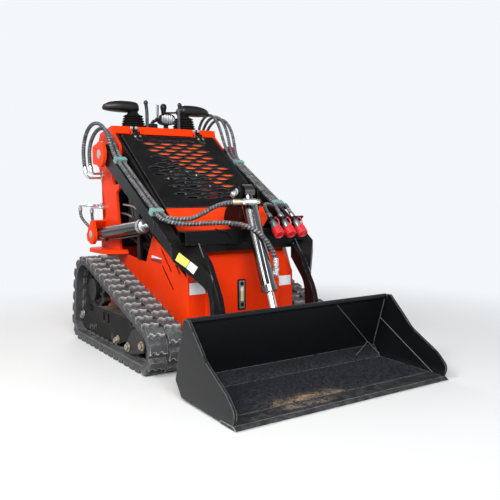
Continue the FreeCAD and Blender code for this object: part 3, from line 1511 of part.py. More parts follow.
HOSE_RADIUS = 11.0
SMALL_HOSE_RADIUS = 9.5
LIFT_HOSE_RADIUS = 9.0
HOSE_RISE = 13.2
CLAMPS = (
    # side, y, the hoses' places outward from the beam's inner face and their radius
    (-1.0, 166.0, (17.0, 45.0), HOSE_RADIUS),
    (-1.0, -290.0, (17.0, 45.0), HOSE_RADIUS),
    (1.0, 166.0, (9.5, 31.0, 52.5), SMALL_HOSE_RADIUS),
    (1.0, -240.0, (9.5, 31.0, 52.5), SMALL_HOSE_RADIUS),
)


def hose_clamps():
    """Two-part clamps that hold the hoses on top of each beam."""
    slope = math.atan2(BEAM_UPPER[0][1] - BEAM_UPPER[1][1], BEAM_UPPER[0][0] - BEAM_UPPER[1][0])
    pieces = []
    for side, y, offsets, radius in CLAMPS:
        clamp = block(BEAM_INNER_X - 2.0, BEAM_OUTER_X + 4.0, -15.0, 15.0, 0.0, 28.0)
        for offset in offsets:
            start = vec(BEAM_INNER_X + offset, -15.0, HOSE_RISE)
            clamp = clamp.cut(Part.makeCylinder(radius + RUNNING_FIT, 30.0, start, vec(0, 1, 0)))
        clamp.rotate(vec(0, 0, 0), vec(1, 0, 0), math.degrees(slope))
        clamp.translate(vec(0, y, level(ARM_OUTLINE[0], ARM_OUTLINE[1], y) + RUNNING_FIT))
        pieces.append(clamp if side > 0 else mirrored(clamp))
    return Part.makeCompound(pieces)


export("coupler_bracket", coupler_bracket())
export("couplers", couplers())
export("hose_clamps", hose_clamps())


# Hoses and the steel pipes that they leave. Each route is a list of (x, y, z) points.

PIVOT_HOSES_RIGHT = (
    (
        (-446.0, 548.0, 1000.0), (-449.0, 560.0, 1070.0), (-447.0, 543.0, 1147.0), (-442.0, 497.0, 1208.0),
        (-434.0, 429.0, 1241.0), (-424.0, 355.0, 1240.0), (-412.0, 289.0, 1204.0), (-402.0, 244.0, 1141.0),
        (-393.0, 229.0, 1088.0), (-390.0, 204.0, 1046.8), (-390.0, 166.0, 1024.0),
    ),
    (
        (-421.0, 520.0, 1005.0), (-422.0, 535.0, 1062.0), (-420.0, 520.0, 1128.0), (-414.0, 475.0, 1180.0),
        (-405.0, 412.0, 1212.0), (-394.0, 350.0, 1212.0), (-384.0, 303.0, 1179.0), (-374.0, 266.0, 1130.0),
        (-366.0, 232.0, 1080.0), (-362.0, 194.0, 1040.8), (-362.0, 166.0, 1024.0),
    ),
)
PIVOT_HOSES_LEFT = (
    (
        (354.5, 632.0, 1005.0), (354.5, 636.0, 1072.0), (355.0, 641.0, 1142.0), (355.0, 635.0, 1212.0),
        (355.0, 608.0, 1280.0), (355.0, 556.0, 1329.0), (355.0, 488.0, 1346.0), (355.0, 420.0, 1328.0),
        (355.0, 366.0, 1283.0), (354.5, 326.0, 1221.0), (354.5, 293.0, 1156.0), (354.5, 256.0, 1098.0),
        (354.5, 212.0, 1051.6), (354.5, 166.0, 1024.0),
    ),
    (
        (376.0, 636.0, 1005.0), (377.0, 645.0, 1072.0), (378.0, 648.0, 1146.0), (379.0, 630.0, 1218.0),
        (380.0, 588.0, 1280.0), (380.0, 526.0, 1321.0), (380.0, 452.0, 1333.0), (379.0, 382.0, 1315.0),
        (378.0, 324.0, 1270.0), (377.0, 285.0, 1208.0), (376.0, 262.0, 1145.0), (376.0, 240.0, 1090.0),
        (376.0, 206.0, 1048.0), (376.0, 166.0, 1024.0),
    ),
    (
        (397.5, 640.0, 1005.0), (399.0, 653.0, 1068.0), (401.0, 655.0, 1138.0), (403.0, 633.0, 1206.0),
        (405.0, 588.0, 1262.0), (406.0, 526.0, 1301.0), (406.0, 455.0, 1316.0), (405.0, 384.0, 1306.0),
        (403.0, 320.0, 1272.0), (401.0, 272.0, 1218.0), (399.0, 243.0, 1153.0), (398.0, 230.0, 1092.0),
        (397.5, 204.0, 1046.8), (397.5, 166.0, 1024.0),
    ),
)
COUPLER_HOSES = (
    (
        (354.5, 166.0, 1024.0), (354.5, -276.0, 759.1), (338.3, -309.7, 749.6), (307.9, -335.3, 754.0),
        (275.1, -356.7, 761.8), (241.6, -377.2, 769.7), (208.3, -398.5, 775.8), (176.5, -422.8, 777.0),
        (151.2, -451.9, 768.0), (142.0, -482.4, 744.6), (142.0, -500.7, 726.3),
    ),
    (
        (376.0, 166.0, 1024.0), (376.0, -276.0, 759.1), (370.4, -309.2, 744.2), (351.4, -340.4, 742.4),
        (324.5, -364.1, 751.2), (295.3, -383.3, 763.5), (265.5, -402.3, 774.8), (237.1, -425.4, 779.2),
        (218.0, -454.4, 768.1), (213.0, -482.4, 744.6), (213.0, -500.7, 726.3),
    ),
    (
        (397.5, 166.0, 1024.0), (397.5, -276.0, 759.1), (386.8, -308.4, 752.4), (367.2, -337.8, 757.6),
        (345.9, -365.4, 765.1), (324.5, -393.3, 771.3), (304.5, -422.8, 772.8), (289.4, -453.9, 765.0),
        (284.0, -482.4, 744.6), (284.0, -500.7, 726.3),
    ),
)
LIFT_HOSES = (
    ((440.0, 676.0, 741.5), (440.0, 676.0, 716.5), (427.0, 662.2, 683.2), (398.0, 615.0, 637.0)),
    ((372.0, 664.0, 730.0), (372.0, 664.0, 702.0), (372.0, 650.0, 671.0), (372.0, 609.0, 637.0)),
)
PIVOT_HOSES_RIGHT = beside_beams(PIVOT_HOSES_RIGHT)
PIVOT_HOSES_LEFT = beside_beams(PIVOT_HOSES_LEFT)
COUPLER_HOSES = beside_beams(COUPLER_HOSES)
LIFT_HOSES = beside_beams(LIFT_HOSES)


def hose(name, points, radius):
    """One hose along its route. Its length and smallest bend are printed."""
    bends = []
    for before, here, after in zip(points, points[1:], points[2:]):
        back = vec(*before) - vec(*here)
        ahead = vec(*after) - vec(*here)
        half = back.getAngle(ahead) / 2.0
        bends.append(0.45 * min(back.Length, ahead.Length) * math.tan(half))
    tube = pipe(points, radius)
    length = tube.Volume / (math.pi * radius * radius)
    print(name, "length", round(length), "smallest bend radius", round(min(bends)))
    return tube


def hose_set(name, routes, radius):
    return Part.makeCompound([hose(name, points, radius) for points in routes])


PIPE_RADIUS = 8.0
NUT_RADIUS = 13.0
FERRULE_LENGTH = 34.0
SHORT_FERRULE = 22.0


def steel_pipe(route, way_points, ferrule_radius, ferrule_length):
    """A bent pipe that ends in the ferrule which its hose starts from."""
    tip = vec(*route[0])
    way = (tip - vec(*route[1])).normalize()
    ferrule = Part.makeCylinder(ferrule_radius, ferrule_length, tip, way)
    return pipe(way_points + (tuple(tip),), PIPE_RADIUS).fuse(ferrule)


def rising_pipe(route, start_x, corner_z, ferrule_radius):
    """A pipe from the post outward, then up along the hose's first run."""
    tip = vec(*route[0])
    way = vec(*route[1]) - tip
    corner = tip - way * ((tip.z - corner_z) / way.z)
    side = 1.0 if start_x > 0 else -1.0
    nut = Part.makeCylinder(NUT_RADIUS, 14.0, vec(start_x, corner.y, corner.z), vec(side, 0, 0))
    points = ((start_x, corner.y, corner.z), tuple(corner))
    return steel_pipe(route, points, ferrule_radius, FERRULE_LENGTH).fuse(nut)


def lift_pipes():
    """The two pipes over the lift cylinder's foot and the ends that their hoses reach."""
    start = POST_OUTER_X + RUNNING_FIT
    pieces = []
    for route, y in zip(LIFT_HOSES, (560.0, 532.0)):
        x, tip_y, tip_z = route[0]
        z = tip_z + 34.0
        nut = Part.makeCylinder(NUT_RADIUS, 14.0, vec(start, y, z), vec(1, 0, 0))
        points = ((start, y, z), (x, y, z), (x, tip_y, z))
        pieces.append(steel_pipe(route, points, 12.0, SHORT_FERRULE).fuse(nut))
        end = vec(*route[-1])
        way = (end - vec(*route[-2])).normalize()
        pieces.append(rod_between(end, end + way * 42.0, 12.0).cut(post()))
    return pieces


def hose_pipes_right():
    start = -POST_OUTER_X - RUNNING_FIT
    upper = rising_pipe(PIVOT_HOSES_RIGHT[0], start, 938.0, 14.0)
    lower = rising_pipe(PIVOT_HOSES_RIGHT[1], start, 962.0, 14.0)
    return Part.makeCompound([upper, lower] + [mirrored(piece) for piece in lift_pipes()])


def hose_pipes_left():
    """Junction block on the post with three pipes that turn up behind it."""
    start = POST_OUTER_X + RUNNING_FIT
    junction = block(start, BEAM_OUTER_X + 5.0, 536.0, 576.0, 880.0, 920.0)
    pipes = []
    for route in PIVOT_HOSES_LEFT:
        tip = vec(*route[0])
        way = vec(*route[1]) - tip
        corner = tip - way * ((tip.z - 900.0) / way.z)
        points = ((corner.x, 575.0, corner.z), tuple(corner))
        pipes.append(steel_pipe(route, points, 10.0, FERRULE_LENGTH))
    return Part.makeCompound([junction.fuse(pipes)] + lift_pipes())


export("pivot_hoses_right", hose_set("pivot_hoses_right", PIVOT_HOSES_RIGHT, HOSE_RADIUS))
export("pivot_hoses_left", hose_set("pivot_hoses_left", PIVOT_HOSES_LEFT, SMALL_HOSE_RADIUS))
export("tilt_hoses", hose_set("tilt_hoses", TILT_HOSES, HOSE_RADIUS))
export("coupler_hoses", hose_set("coupler_hoses", COUPLER_HOSES, SMALL_HOSE_RADIUS))
export_pair("lift_hoses", hose_set("lift_hoses", LIFT_HOSES, LIFT_HOSE_RADIUS))
export("hose_pipes_right", hose_pipes_right())
export("hose_pipes_left", hose_pipes_left())
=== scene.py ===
import json
import math

import bmesh
import bpy
from mathutils import Matrix, Vector

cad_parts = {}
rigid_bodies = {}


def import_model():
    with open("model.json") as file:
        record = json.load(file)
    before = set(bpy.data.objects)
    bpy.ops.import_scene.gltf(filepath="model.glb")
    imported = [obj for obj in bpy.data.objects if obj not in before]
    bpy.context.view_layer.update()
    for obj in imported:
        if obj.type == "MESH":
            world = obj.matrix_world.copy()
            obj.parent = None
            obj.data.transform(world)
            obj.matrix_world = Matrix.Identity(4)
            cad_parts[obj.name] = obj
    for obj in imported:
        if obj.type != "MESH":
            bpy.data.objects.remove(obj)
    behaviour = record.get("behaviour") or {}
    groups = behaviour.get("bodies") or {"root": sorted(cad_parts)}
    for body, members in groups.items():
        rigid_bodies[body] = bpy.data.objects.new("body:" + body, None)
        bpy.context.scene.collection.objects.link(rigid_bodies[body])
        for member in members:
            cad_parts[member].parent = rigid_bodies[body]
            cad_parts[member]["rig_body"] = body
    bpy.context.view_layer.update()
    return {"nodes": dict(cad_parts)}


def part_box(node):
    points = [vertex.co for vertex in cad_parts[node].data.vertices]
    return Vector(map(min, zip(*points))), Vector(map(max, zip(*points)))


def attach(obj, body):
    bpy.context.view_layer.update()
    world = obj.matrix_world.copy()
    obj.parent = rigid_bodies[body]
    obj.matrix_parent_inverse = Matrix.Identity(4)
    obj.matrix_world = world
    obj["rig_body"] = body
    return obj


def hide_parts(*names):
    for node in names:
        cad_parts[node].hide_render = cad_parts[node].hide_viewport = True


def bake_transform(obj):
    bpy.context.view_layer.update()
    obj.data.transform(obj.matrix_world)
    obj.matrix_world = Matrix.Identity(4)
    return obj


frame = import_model()


# Floor, light and camera. A plain pale floor under soft studio lamps, and the camera
# where the photograph was taken: at chest height off the machine's front right corner.

DATUM_SHIFT = 0.1755
BACKDROP_PALE = (0.9, 0.93, 0.96, 1)
BACKDROP_HIGH = (0.2, 0.22, 0.25, 1)
FLOOR_REACH = 40
SENSOR, LENS_PIXELS, PICTURE_PIXELS = 36.0, 627.8, 500.0
CAMERA_AT = Vector((-1.643, -2.9305, 0.812))
CAMERA_YAW, CAMERA_PITCH, CAMERA_ROLL = 32.70, 4.78, -0.66


def place(x, y, z):
    """A point of the machine drawing, in millimetres from its datum, in metres."""
    return Vector((x / 1000.0, y / 1000.0 + DATUM_SHIFT, z / 1000.0))


def colour(red, green, blue):
    """A colour as it is read off a screen, made linear for the shaders."""
    levels = [c / 255.0 for c in (red, green, blue)]
    return tuple(c / 12.92 if c <= 0.04045 else ((c + 0.055) / 1.055) ** 2.4 for c in levels) + (1.0,)


def add_object(name, data):
    piece = bpy.data.objects.new(name, data)
    bpy.context.scene.collection.objects.link(piece)
    return piece


def soft_lamp(name, at, aim, wide, high, watts, tint):
    """A soft box that hangs level and faces its aim."""
    lamp = bpy.data.lights.new(name, "AREA")
    lamp.shape = "RECTANGLE"
    lamp.size = wide
    lamp.size_y = high
    lamp.energy = watts
    lamp.color = tint
    holder = add_object(name, lamp)
    holder.location = at
    holder.rotation_euler = (Vector(aim) - Vector(at)).to_track_quat("-Z", "Y").to_euler()


def feed(tree, node, inputs):
    """Links a node's inputs to sockets, or sets them to plain values."""
    for slot, value in inputs.items():
        if isinstance(value, (int, float, str, tuple)):
            node.inputs[slot].default_value = value
        else:
            tree.links.new(value, node.inputs[slot])
    return node.outputs


def add_node(tree, kind, inputs=None, **settings):
    """A new node with its settings and inputs. What it hands back are its outputs."""
    made = tree.nodes.new(kind)
    for name, value in settings.items():
        setattr(made, name, value)
    return feed(tree, made, inputs or {})


def sum_node(tree, kind, *values, clamp=False):
    """A sum of sockets or numbers."""
    return add_node(tree, "ShaderNodeMath", dict(enumerate(values)), operation=kind, use_clamp=clamp)[0]


def band_node(tree, value, low, high):
    """0 below low, 1 above high, smooth between."""
    limits = {"Value": value, "From Min": low, "From Max": high}
    return add_node(tree, "ShaderNodeMapRange", limits, interpolation_type="SMOOTHSTEP")["Result"]


def mixed_colour(tree, share, first, second):
    """The first colour where the share is 0, the second where it is 1."""
    return add_node(tree, "ShaderNodeMix", {0: share, 6: first, 7: second}, data_type="RGBA")[2]


def new_finish(name):
    """An empty material, with its node tree and its shader."""
    made = bpy.data.materials.new(name)
    made.use_nodes = True
    return made, made.node_tree, made.node_tree.nodes["Principled BSDF"]


soft_lamp("key_lamp", (-4.6, -1.4, 4.4), (0, -0.2, 0.6), 2.0, 2.0, 210, (1.0, 0.98, 0.95))
soft_lamp("front_lamp", (-2.2, -4.6, 3.2), (0, -0.6, 0.6), 4.4, 2.2, 330, (0.96, 0.98, 1.0))
soft_lamp("back_lamp", (1.0, 5.6, 3.4), (0, 0.2, 0.8), 3.0, 2.0, 120, (1.0, 1.0, 1.0))

sky = bpy.data.worlds.new("studio")
bpy.context.scene.world = sky
sky.use_nodes = True
tree = sky.node_tree
# pale where the camera looks and a deeper grey overhead, so that gloss has something to mirror
way = add_node(tree, "ShaderNodeTexCoord")["Generated"]
height = add_node(tree, "ShaderNodeSeparateXYZ", {0: way})["Z"]
shade = add_node(tree, "ShaderNodeMapRange", {"Value": height, "From Min": 0.3, "From Max": 0.62})["Result"]
seen = add_node(tree, "ShaderNodeLightPath")
either = sum_node(tree, "MAXIMUM", seen["Is Camera Ray"], seen["Is Glossy Ray"])
level = add_node(tree, "ShaderNodeMapRange", {"Value": either, "To Min": 0.5, "To Max": 1.0})["Result"]
tones = mixed_colour(tree, shade, BACKDROP_PALE, BACKDROP_HIGH)
feed(tree, tree.nodes["Background"], {"Color": tones, "Strength": level})

floor_mesh = bpy.data.meshes.new("floor")
corners = [(x * FLOOR_REACH, y * FLOOR_REACH, 0) for x, y in ((-1, -1), (1, -1), (1, 1), (-1, 1))]
floor_mesh.from_pydata(corners, [], [(0, 1, 2, 3)])
floor = add_object("floor", floor_mesh)
floor_finish, tree, ground = new_finish("floor_finish")
feed(tree, ground, {"Base Color": (0.8, 0.8, 0.79, 1), "Roughness": 0.9})
# far from the machine the camera sees the floor run into the backdrop
spot = add_node(tree, "ShaderNodeTexCoord")["Object"]
away = add_node(tree, "ShaderNodeVectorMath", {0: spot}, operation="LENGTH")["Value"]
seen = add_node(tree, "ShaderNodeLightPath")["Is Camera Ray"]
share = sum_node(tree, "MULTIPLY", band_node(tree, away, 0.9, 3.0), seen)
far_off = add_node(tree, "ShaderNodeEmission", {"Color": BACKDROP_PALE})[0]
both = add_node(tree, "ShaderNodeMixShader", {0: share, 1: ground.outputs[0], 2: far_off})[0]
feed(tree, tree.nodes["Material Output"], {"Surface": both})
floor_mesh.materials.append(floor_finish)

lens = bpy.data.cameras.new("camera")
lens.sensor_width = SENSOR
lens.lens = SENSOR * LENS_PIXELS / PICTURE_PIXELS
lens.clip_end = 200.0
camera = add_object("camera", lens)
yaw, pitch, roll = (math.radians(turn) for turn in (CAMERA_YAW, CAMERA_PITCH, CAMERA_ROLL))
ahead = Vector((math.sin(yaw) * math.cos(pitch), math.cos(yaw) * math.cos(pitch), -math.sin(pitch)))
across = Vector((math.cos(yaw), -math.sin(yaw), 0.0))
upward = across.cross(ahead)
across_rolled = across * math.cos(roll) + upward * math.sin(roll)
up_rolled = upward * math.cos(roll) - across * math.sin(roll)
columns = (across_rolled, up_rolled, -ahead, CAMERA_AT)
camera.matrix_world = Matrix([[column[i] for column in columns] for i in range(3)] + [[0, 0, 0, 1]])
bpy.context.scene.camera = camera
bpy.context.scene.view_settings.view_transform = "Standard"


# Track frames. Welded box frames of dark plate, dusty on top and painted paler there as light
# on the tops, with rollers, a toothed sprocket and a bolted guard at the front idler, whose
# bolts are rubbed to a bronze colour.

SIDES = (("left", 1), ("right", -1))
SPROCKET = (357.0, 303.0)
SPROCKET_FACE, SPROCKET_BOLTS, SPROCKET_BOLT_RING = 452, 9, 62
FRAME_FACE = 500
GUARD_INNER, GUARD_OUTER = 506, 514
GUARD_OUTLINE = (
    (-226, 122), (-198, 90), (-203, 62), (-287, 62), (-424, 96), (-436, 126), (-419, 168), (-387, 193),
    (-331, 195), (-280, 178),
)


def noise_node(tree, scale, detail, where, roughness=0.55):
    given = {"Scale": scale, "Detail": detail, "Roughness": roughness, "Vector": where}
    return add_node(tree, "ShaderNodeTexNoise", given)["Fac"]


def new_group(name, inputs, outputs):
    """An empty shader group whose named sockets all carry numbers."""
    group = bpy.data.node_groups.new(name, "ShaderNodeTree")
    for socket, value in inputs.items():
        made = group.interface.new_socket(socket, in_out="INPUT", socket_type="NodeSocketFloat")
        made.default_value = value
    for socket in outputs:
        group.interface.new_socket(socket, in_out="OUTPUT", socket_type="NodeSocketFloat")
    return group, group.nodes.new("NodeGroupInput").outputs, group.nodes.new("NodeGroupOutput")


def build_worn_edges():
    """Mask of corners and edges that have rubbed through, broken up by noise."""
    group, given, out = new_group("worn_edges", {"Reach": 0.004, "Amount": 0.5, "Scale": 30.0}, ["Mask"])
    spot = add_node(group, "ShaderNodeTexCoord")["Object"]
    eased = add_node(group, "ShaderNodeBevel", {"Radius": given["Reach"]}, samples=6)["Normal"]
    plain = add_node(group, "ShaderNodeNewGeometry")["Normal"]
    match = add_node(group, "ShaderNodeVectorMath", {0: eased, 1: plain}, operation="DOT_PRODUCT")["Value"]
    away = band_node(group, sum_node(group, "SUBTRACT", 1.0, match, clamp=True), 0.012, 0.1)
    spots = noise_node(group, given["Scale"], 5.0, spot)
    low = sum_node(group, "SUBTRACT", 0.82, sum_node(group, "MULTIPLY", given["Amount"], 0.5))
    kept = band_node(group, spots, sum_node(group, "SUBTRACT", low, 0.12), low)
    feed(group, out, {"Mask": sum_node(group, "MULTIPLY", away, kept, clamp=True)})
    return group


def build_settled_dust():
    """Mask of dust: most on faces that look up and near the ground, patchy all over."""
    group, given, out = new_group("settled_dust", {"Amount": 0.5, "Ground": 0.5, "Scale": 9.0}, ["Mask"])
    spot = add_node(group, "ShaderNodeTexCoord")["Object"]
    normal = add_node(group, "ShaderNodeNewGeometry")["Normal"]
    up = band_node(group, add_node(group, "ShaderNodeSeparateXYZ", {0: normal})["Z"], 0.25, 0.95)
    above = add_node(group, "ShaderNodeSeparateXYZ", {0: spot})["Z"]
    low = sum_node(group, "SUBTRACT", 1.0, band_node(group, above, 0.0, given["Ground"]))
    patch = band_node(group, noise_node(group, given["Scale"], 6.0, spot, 0.62), 0.36, 0.66)
    grit = band_node(group, noise_node(group, 140.0, 3.0, spot), 0.4, 0.7)
    total = sum_node(group, "MULTIPLY_ADD", low, 0.55, sum_node(group, "MULTIPLY", up, 0.75))
    total = sum_node(group, "ADD", total, 0.05)
    total = sum_node(group, "MULTIPLY", total, sum_node(group, "MULTIPLY_ADD", patch, 0.75, 0.25))
    total = sum_node(group, "MULTIPLY", total, sum_node(group, "MULTIPLY_ADD", grit, 0.45, 0.55))
    feed(group, out, {"Mask": sum_node(group, "MULTIPLY", total, given["Amount"], clamp=True)})
    return group


def build_surface_grain():
    """Height of a fine grain over slow ripples, as sprayed paint and rolled plate have."""
    group, given, out = new_group(
        "surface_grain", {"Fine": 900.0, "Ripple": 18.0, "Share": 0.4}, ["Height", "Tone"]
    )
    spot = add_node(group, "ShaderNodeTexCoord")["Object"]
    fine = noise_node(group, given["Fine"], 2.0, spot)
    ripple = noise_node(group, given["Ripple"], 3.0, spot)
    feed(group, out, {"Height": sum_node(group, "MULTIPLY_ADD", fine, given["Share"], ripple), "Tone": ripple})
    return group


WORN_EDGES = build_worn_edges()
SETTLED_DUST = build_settled_dust()
SURFACE_GRAIN = build_surface_grain()
DUST = colour(168, 150, 128)


def mixed_value(tree, share, first, second):
    return sum_node(tree, "MULTIPLY_ADD", share, second - first, first)


def place_group(tree, group, **values):
    """A shader group in a tree, with its numbers given by name."""
    given = {name.capitalize(): value for name, value in values.items()}
    return add_node(tree, "ShaderNodeGroup", given, node_tree=group)


def raised_by(tree, height, strength, distance=0.001):
    """The normal of a face that a height moulds by up to a distance in metres."""
    given = {"Strength": strength, "Distance": distance, "Height": height}
    return add_node(tree, "ShaderNodeBump", given)["Normal"]


def dimmed(tone, share):
    return tuple(c * share for c in tone[:3]) + (1.0,)


def coated_steel(
    name, tone, rough, worn=None, reach=0.003, wear=0.4, dust=0.4, ground=0.5, metal=0.0, coat=0.0,
    bump=0.06, ripple=18.0, dust_tone=DUST, shift=0.1, gleam=0.5, patch=9.0,
):
    """Painted, plated or bare steel with rubbed edges, dust and a fine grain."""
    made, tree, shader = new_finish(name)
    grain = place_group(tree, SURFACE_GRAIN, ripple=ripple)
    base = mixed_colour(tree, band_node(tree, grain["Tone"], 0.3, 0.7), dimmed(tone, 1.0 - 2.2 * shift), tone)
    dusty = place_group(tree, SETTLED_DUST, amount=dust, ground=ground, scale=patch)["Mask"]
    metallic = 0.0
    if worn:
        rubbed = place_group(tree, WORN_EDGES, reach=reach, amount=wear)["Mask"]
        base = mixed_colour(tree, rubbed, base, worn)
        metallic = sum_node(tree, "MULTIPLY", rubbed, 0.7)
    if metal > 0:
        metallic = sum_node(tree, "MULTIPLY", sum_node(tree, "SUBTRACT", 1.0, dusty), metal)
    feed(tree, shader, {
        "Base Color": mixed_colour(tree, dusty, base, dust_tone),
        "Roughness": mixed_value(tree, dusty, rough, 0.92),
        "Metallic": metallic,
        "Specular IOR Level": gleam,
        "Coat Weight": coat,
        "Coat Roughness": 0.12,
        "Normal": raised_by(tree, grain["Height"], bump),
    })
    return made


# the heavy pale dust on upward faces is dust and partly a painted light on tops that lie in the belts' shade
FRAME_BLACK = coated_steel(
    "track_frame_black", colour(12, 12, 13), 0.6, colour(110, 102, 94), wear=0.5, dust=0.75, ground=0.03,
    bump=0.3, gleam=0.12, dust_tone=colour(176, 166, 152),
)
# its pale rubbed edges are wear and partly a painted edge highlight that sets the idler guard off from the frame
RUNNING_STEEL = coated_steel(
    "running_steel", colour(22, 22, 24), 0.5, colour(150, 144, 136), wear=0.8, dust=0.35, ground=0.1,
    bump=0.3, gleam=0.3,
)
RUBBED_BRONZE = coated_steel(
    "rubbed_bronze", colour(172, 156, 138), 0.35, colour(225, 215, 202), wear=0.6, dust=0.2, metal=0.75, bump=0.1
)
ZINC = coated_steel(
    "zinc_plate", colour(196, 198, 200), 0.3, colour(240, 240, 240), wear=0.4, dust=0.12, metal=0.85, bump=0.08
)


def finish_piece(piece, body, smooth=38):
    """Shades a finished mesh and lets it ride on its body."""
    piece.data.shade_smooth()
    piece.data.set_sharp_from_angle(angle=math.radians(smooth))
    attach(piece, body)
    return piece


def ease_corners(piece, width, segments=2):
    """Rounds the piece's outer corners a little, as grinding and paint leave them."""
    eased = piece.modifiers.new("eased", "BEVEL")
    eased.width = width
    eased.segments = segments
    eased.limit_method = "ANGLE"
    eased.angle_limit = math.radians(34.0)
    eased.harden_normals = True


def dress_node(node, finish, width=0.0015):
    """A plate piece as built, with merged faces and eased corners, in its own finish."""
    source = frame["nodes"][node]
    mesh = source.data.copy()
    shape = bmesh.new()
    shape.from_mesh(mesh)
    bmesh.ops.remove_doubles(shape, verts=shape.verts, dist=2e-5)
    bmesh.ops.dissolve_limit(shape, angle_limit=math.radians(0.6), verts=shape.verts, edges=shape.edges)
    shape.to_mesh(mesh)
    shape.free()
    mesh.name = node + "_steel"
    mesh.materials.clear()
    mesh.materials.append(finish)
    piece = finish_piece(add_object(node + "_steel", mesh), source["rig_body"])
    if width:
        ease_corners(piece, width)
    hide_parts(node)
    return piece


def mesh_piece(name, verts, faces, finish):
    """A closed piece from its points and faces, with normals outward."""
    mesh = bpy.data.meshes.new(name)
    mesh.from_pydata([tuple(v) for v in verts], [], faces)
    mesh.materials.append(finish)
    shape = bmesh.new()
    shape.from_mesh(mesh)
    bmesh.ops.remove_doubles(shape, verts=shape.verts, dist=1e-6)
    bmesh.ops.recalc_face_normals(shape, faces=shape.faces)
    shape.to_mesh(mesh)
    shape.free()
    return add_object(name, mesh)


def prism(under, over):
    """Points and faces of a closed form between two outlines."""
    count = len(under)
    faces = [tuple(range(count)), tuple(range(2 * count - 1, count - 1, -1))]
    faces += [(i, (i + 1) % count, count + (i + 1) % count, count + i) for i in range(count)]
    return under + over, faces


def thick_plate(name, outline, low, high, axis, finish, ease=0.002, segments=2):
    """A flat plate on the machine's body, from its outline, between two depths along an axis."""
    layers = []
    for depth in (low, high):
        layers.append([])
        for spot in outline:
            point = list(spot)
            point.insert("xyz".index(axis), depth)
            layers[-1].append(place(*point))
    piece = mesh_piece(name, *prism(*layers), finish)
    if ease:
        ease_corners(piece, ease, segments)
    return finish_piece(piece, "chassis")


def build_set_out():
    """Sets copies of a small part on the points of a mesh, each turned as its point says."""
    tree = bpy.data.node_groups.new("set_out", "GeometryNodeTree")
    for socket, kind in (("Geometry", "Geometry"), ("Part", "Object"), ("Size", "Float"), ("Finish", "Material")):
        tree.interface.new_socket(socket, in_out="INPUT", socket_type="NodeSocket" + kind)
    tree.interface.new_socket("Geometry", in_out="OUTPUT", socket_type="NodeSocketGeometry")
    given = tree.nodes.new("NodeGroupInput").outputs
    part = add_node(tree, "GeometryNodeObjectInfo", {"Object": given["Part"]})["Geometry"]
    turn = add_node(tree, "GeometryNodeInputNamedAttribute", {"Name": "turn"}, data_type="FLOAT_VECTOR")["Attribute"]
    copies = add_node(tree, "GeometryNodeInstanceOnPoints", {
        "Points": given["Geometry"], "Instance": part, "Rotation": turn, "Scale": given["Size"],
    })["Instances"]
    real = add_node(tree, "GeometryNodeRealizeInstances", {"Geometry": copies})["Geometry"]
    painted = add_node(tree, "GeometryNodeSetMaterial", {"Geometry": real, "Material": given["Finish"]})
    feed(tree, tree.nodes.new("NodeGroupOutput"), {"Geometry": painted["Geometry"]})
    return tree


SET_OUT = build_set_out()


def set_out(name, part, points, finish, size=1.0):
    """One plain mesh of copies of a part. Points are (place, turn about x, y and z)."""
    mesh = bpy.data.meshes.new(name + "_points")
    mesh.from_pydata([tuple(at) for at, _ in points], [], [])
    turns = mesh.attributes.new("turn", "FLOAT_VECTOR", "POINT")
    turns.data.foreach_set("vector", [c for _, turn in points for c in turn])
    holder = add_object(name + "_points", mesh)
    nodes_used = holder.modifiers.new("set_out", "NODES")
    nodes_used.node_group = SET_OUT
    given = {"Part": part, "Size": size, "Finish": finish}
    for item in SET_OUT.interface.items_tree:
        if item.item_type == "SOCKET" and item.in_out == "INPUT" and item.name in given:
            nodes_used[item.identifier] = given[item.name]
    holder.update_tag()
    bpy.context.view_layer.update()
    evaluated = holder.evaluated_get(bpy.context.evaluated_depsgraph_get())
    made = bpy.data.meshes.new_from_object(evaluated)
    made.name = name
    bpy.data.objects.remove(holder)
    return add_object(name, made)


def mesh_from(shape, name, finish=None):
    """The mesh of a shape under edit, in its finish."""
    mesh = bpy.data.meshes.new(name)
    shape.to_mesh(mesh)
    shape.free()
    if finish:
        mesh.materials.append(finish)
    return mesh


def skin_rings(shape, rings):
    """Closes a form over its rings of points. What it hands back are the side faces in order."""
    count = len(rings[0])
    sides = [
        shape.faces.new((low[k], low[(k + 1) % count], high[(k + 1) % count], high[k]))
        for low, high in zip(rings, rings[1:])
        for k in range(count)
    ]
    shape.faces.new(list(reversed(rings[0])))
    shape.faces.new(rings[-1])
    return sides


def hex_bolt(radius, height, sides=18):
    """A bolt head with a washer, standing on the floor of its own space."""
    shape = bmesh.new()
    sixth = math.pi / 3
    rings = []
    for wide, high, six_sided in (
        (1.35, 0.0, False), (1.35, 0.22, False), (1.0, 0.23, False), (1.0, 0.24, True), (1.0, 0.88, True),
        (0.86, 1.0, True),
    ):
        ring = []
        for angle in (math.tau * i / sides for i in range(sides)):
            out = radius * wide
            if six_sided:
                out *= math.cos(sixth / 2) / math.cos((angle + sixth / 2) % sixth - sixth / 2)
            ring.append(shape.verts.new((out * math.cos(angle), out * math.sin(angle), height * high)))
        rings.append(ring)
    skin_rings(shape, rings)
    part = add_object("bolt_pattern", mesh_from(shape, "bolt"))
    part.hide_render = True
    return part


BOLT = hex_bolt(0.010, 0.009)
LOOK = {
    # turn that stands a bolt head on a face that looks this way
    "-x": (0.0, -math.pi / 2, 0.0),
    "+x": (0.0, math.pi / 2, 0.0),
    "-y": (math.pi / 2, 0.0, 0.0),
}


def bolt_row(name, places, look, body, finish, size=1.0):
    """Bolt heads on a face that looks along an axis, or that has a turn of its own."""
    turn = LOOK[look] if isinstance(look, str) else look
    piece = set_out(name, BOLT, [(place(*p), turn) for p in places], finish, size)
    return finish_piece(piece, body, 30)


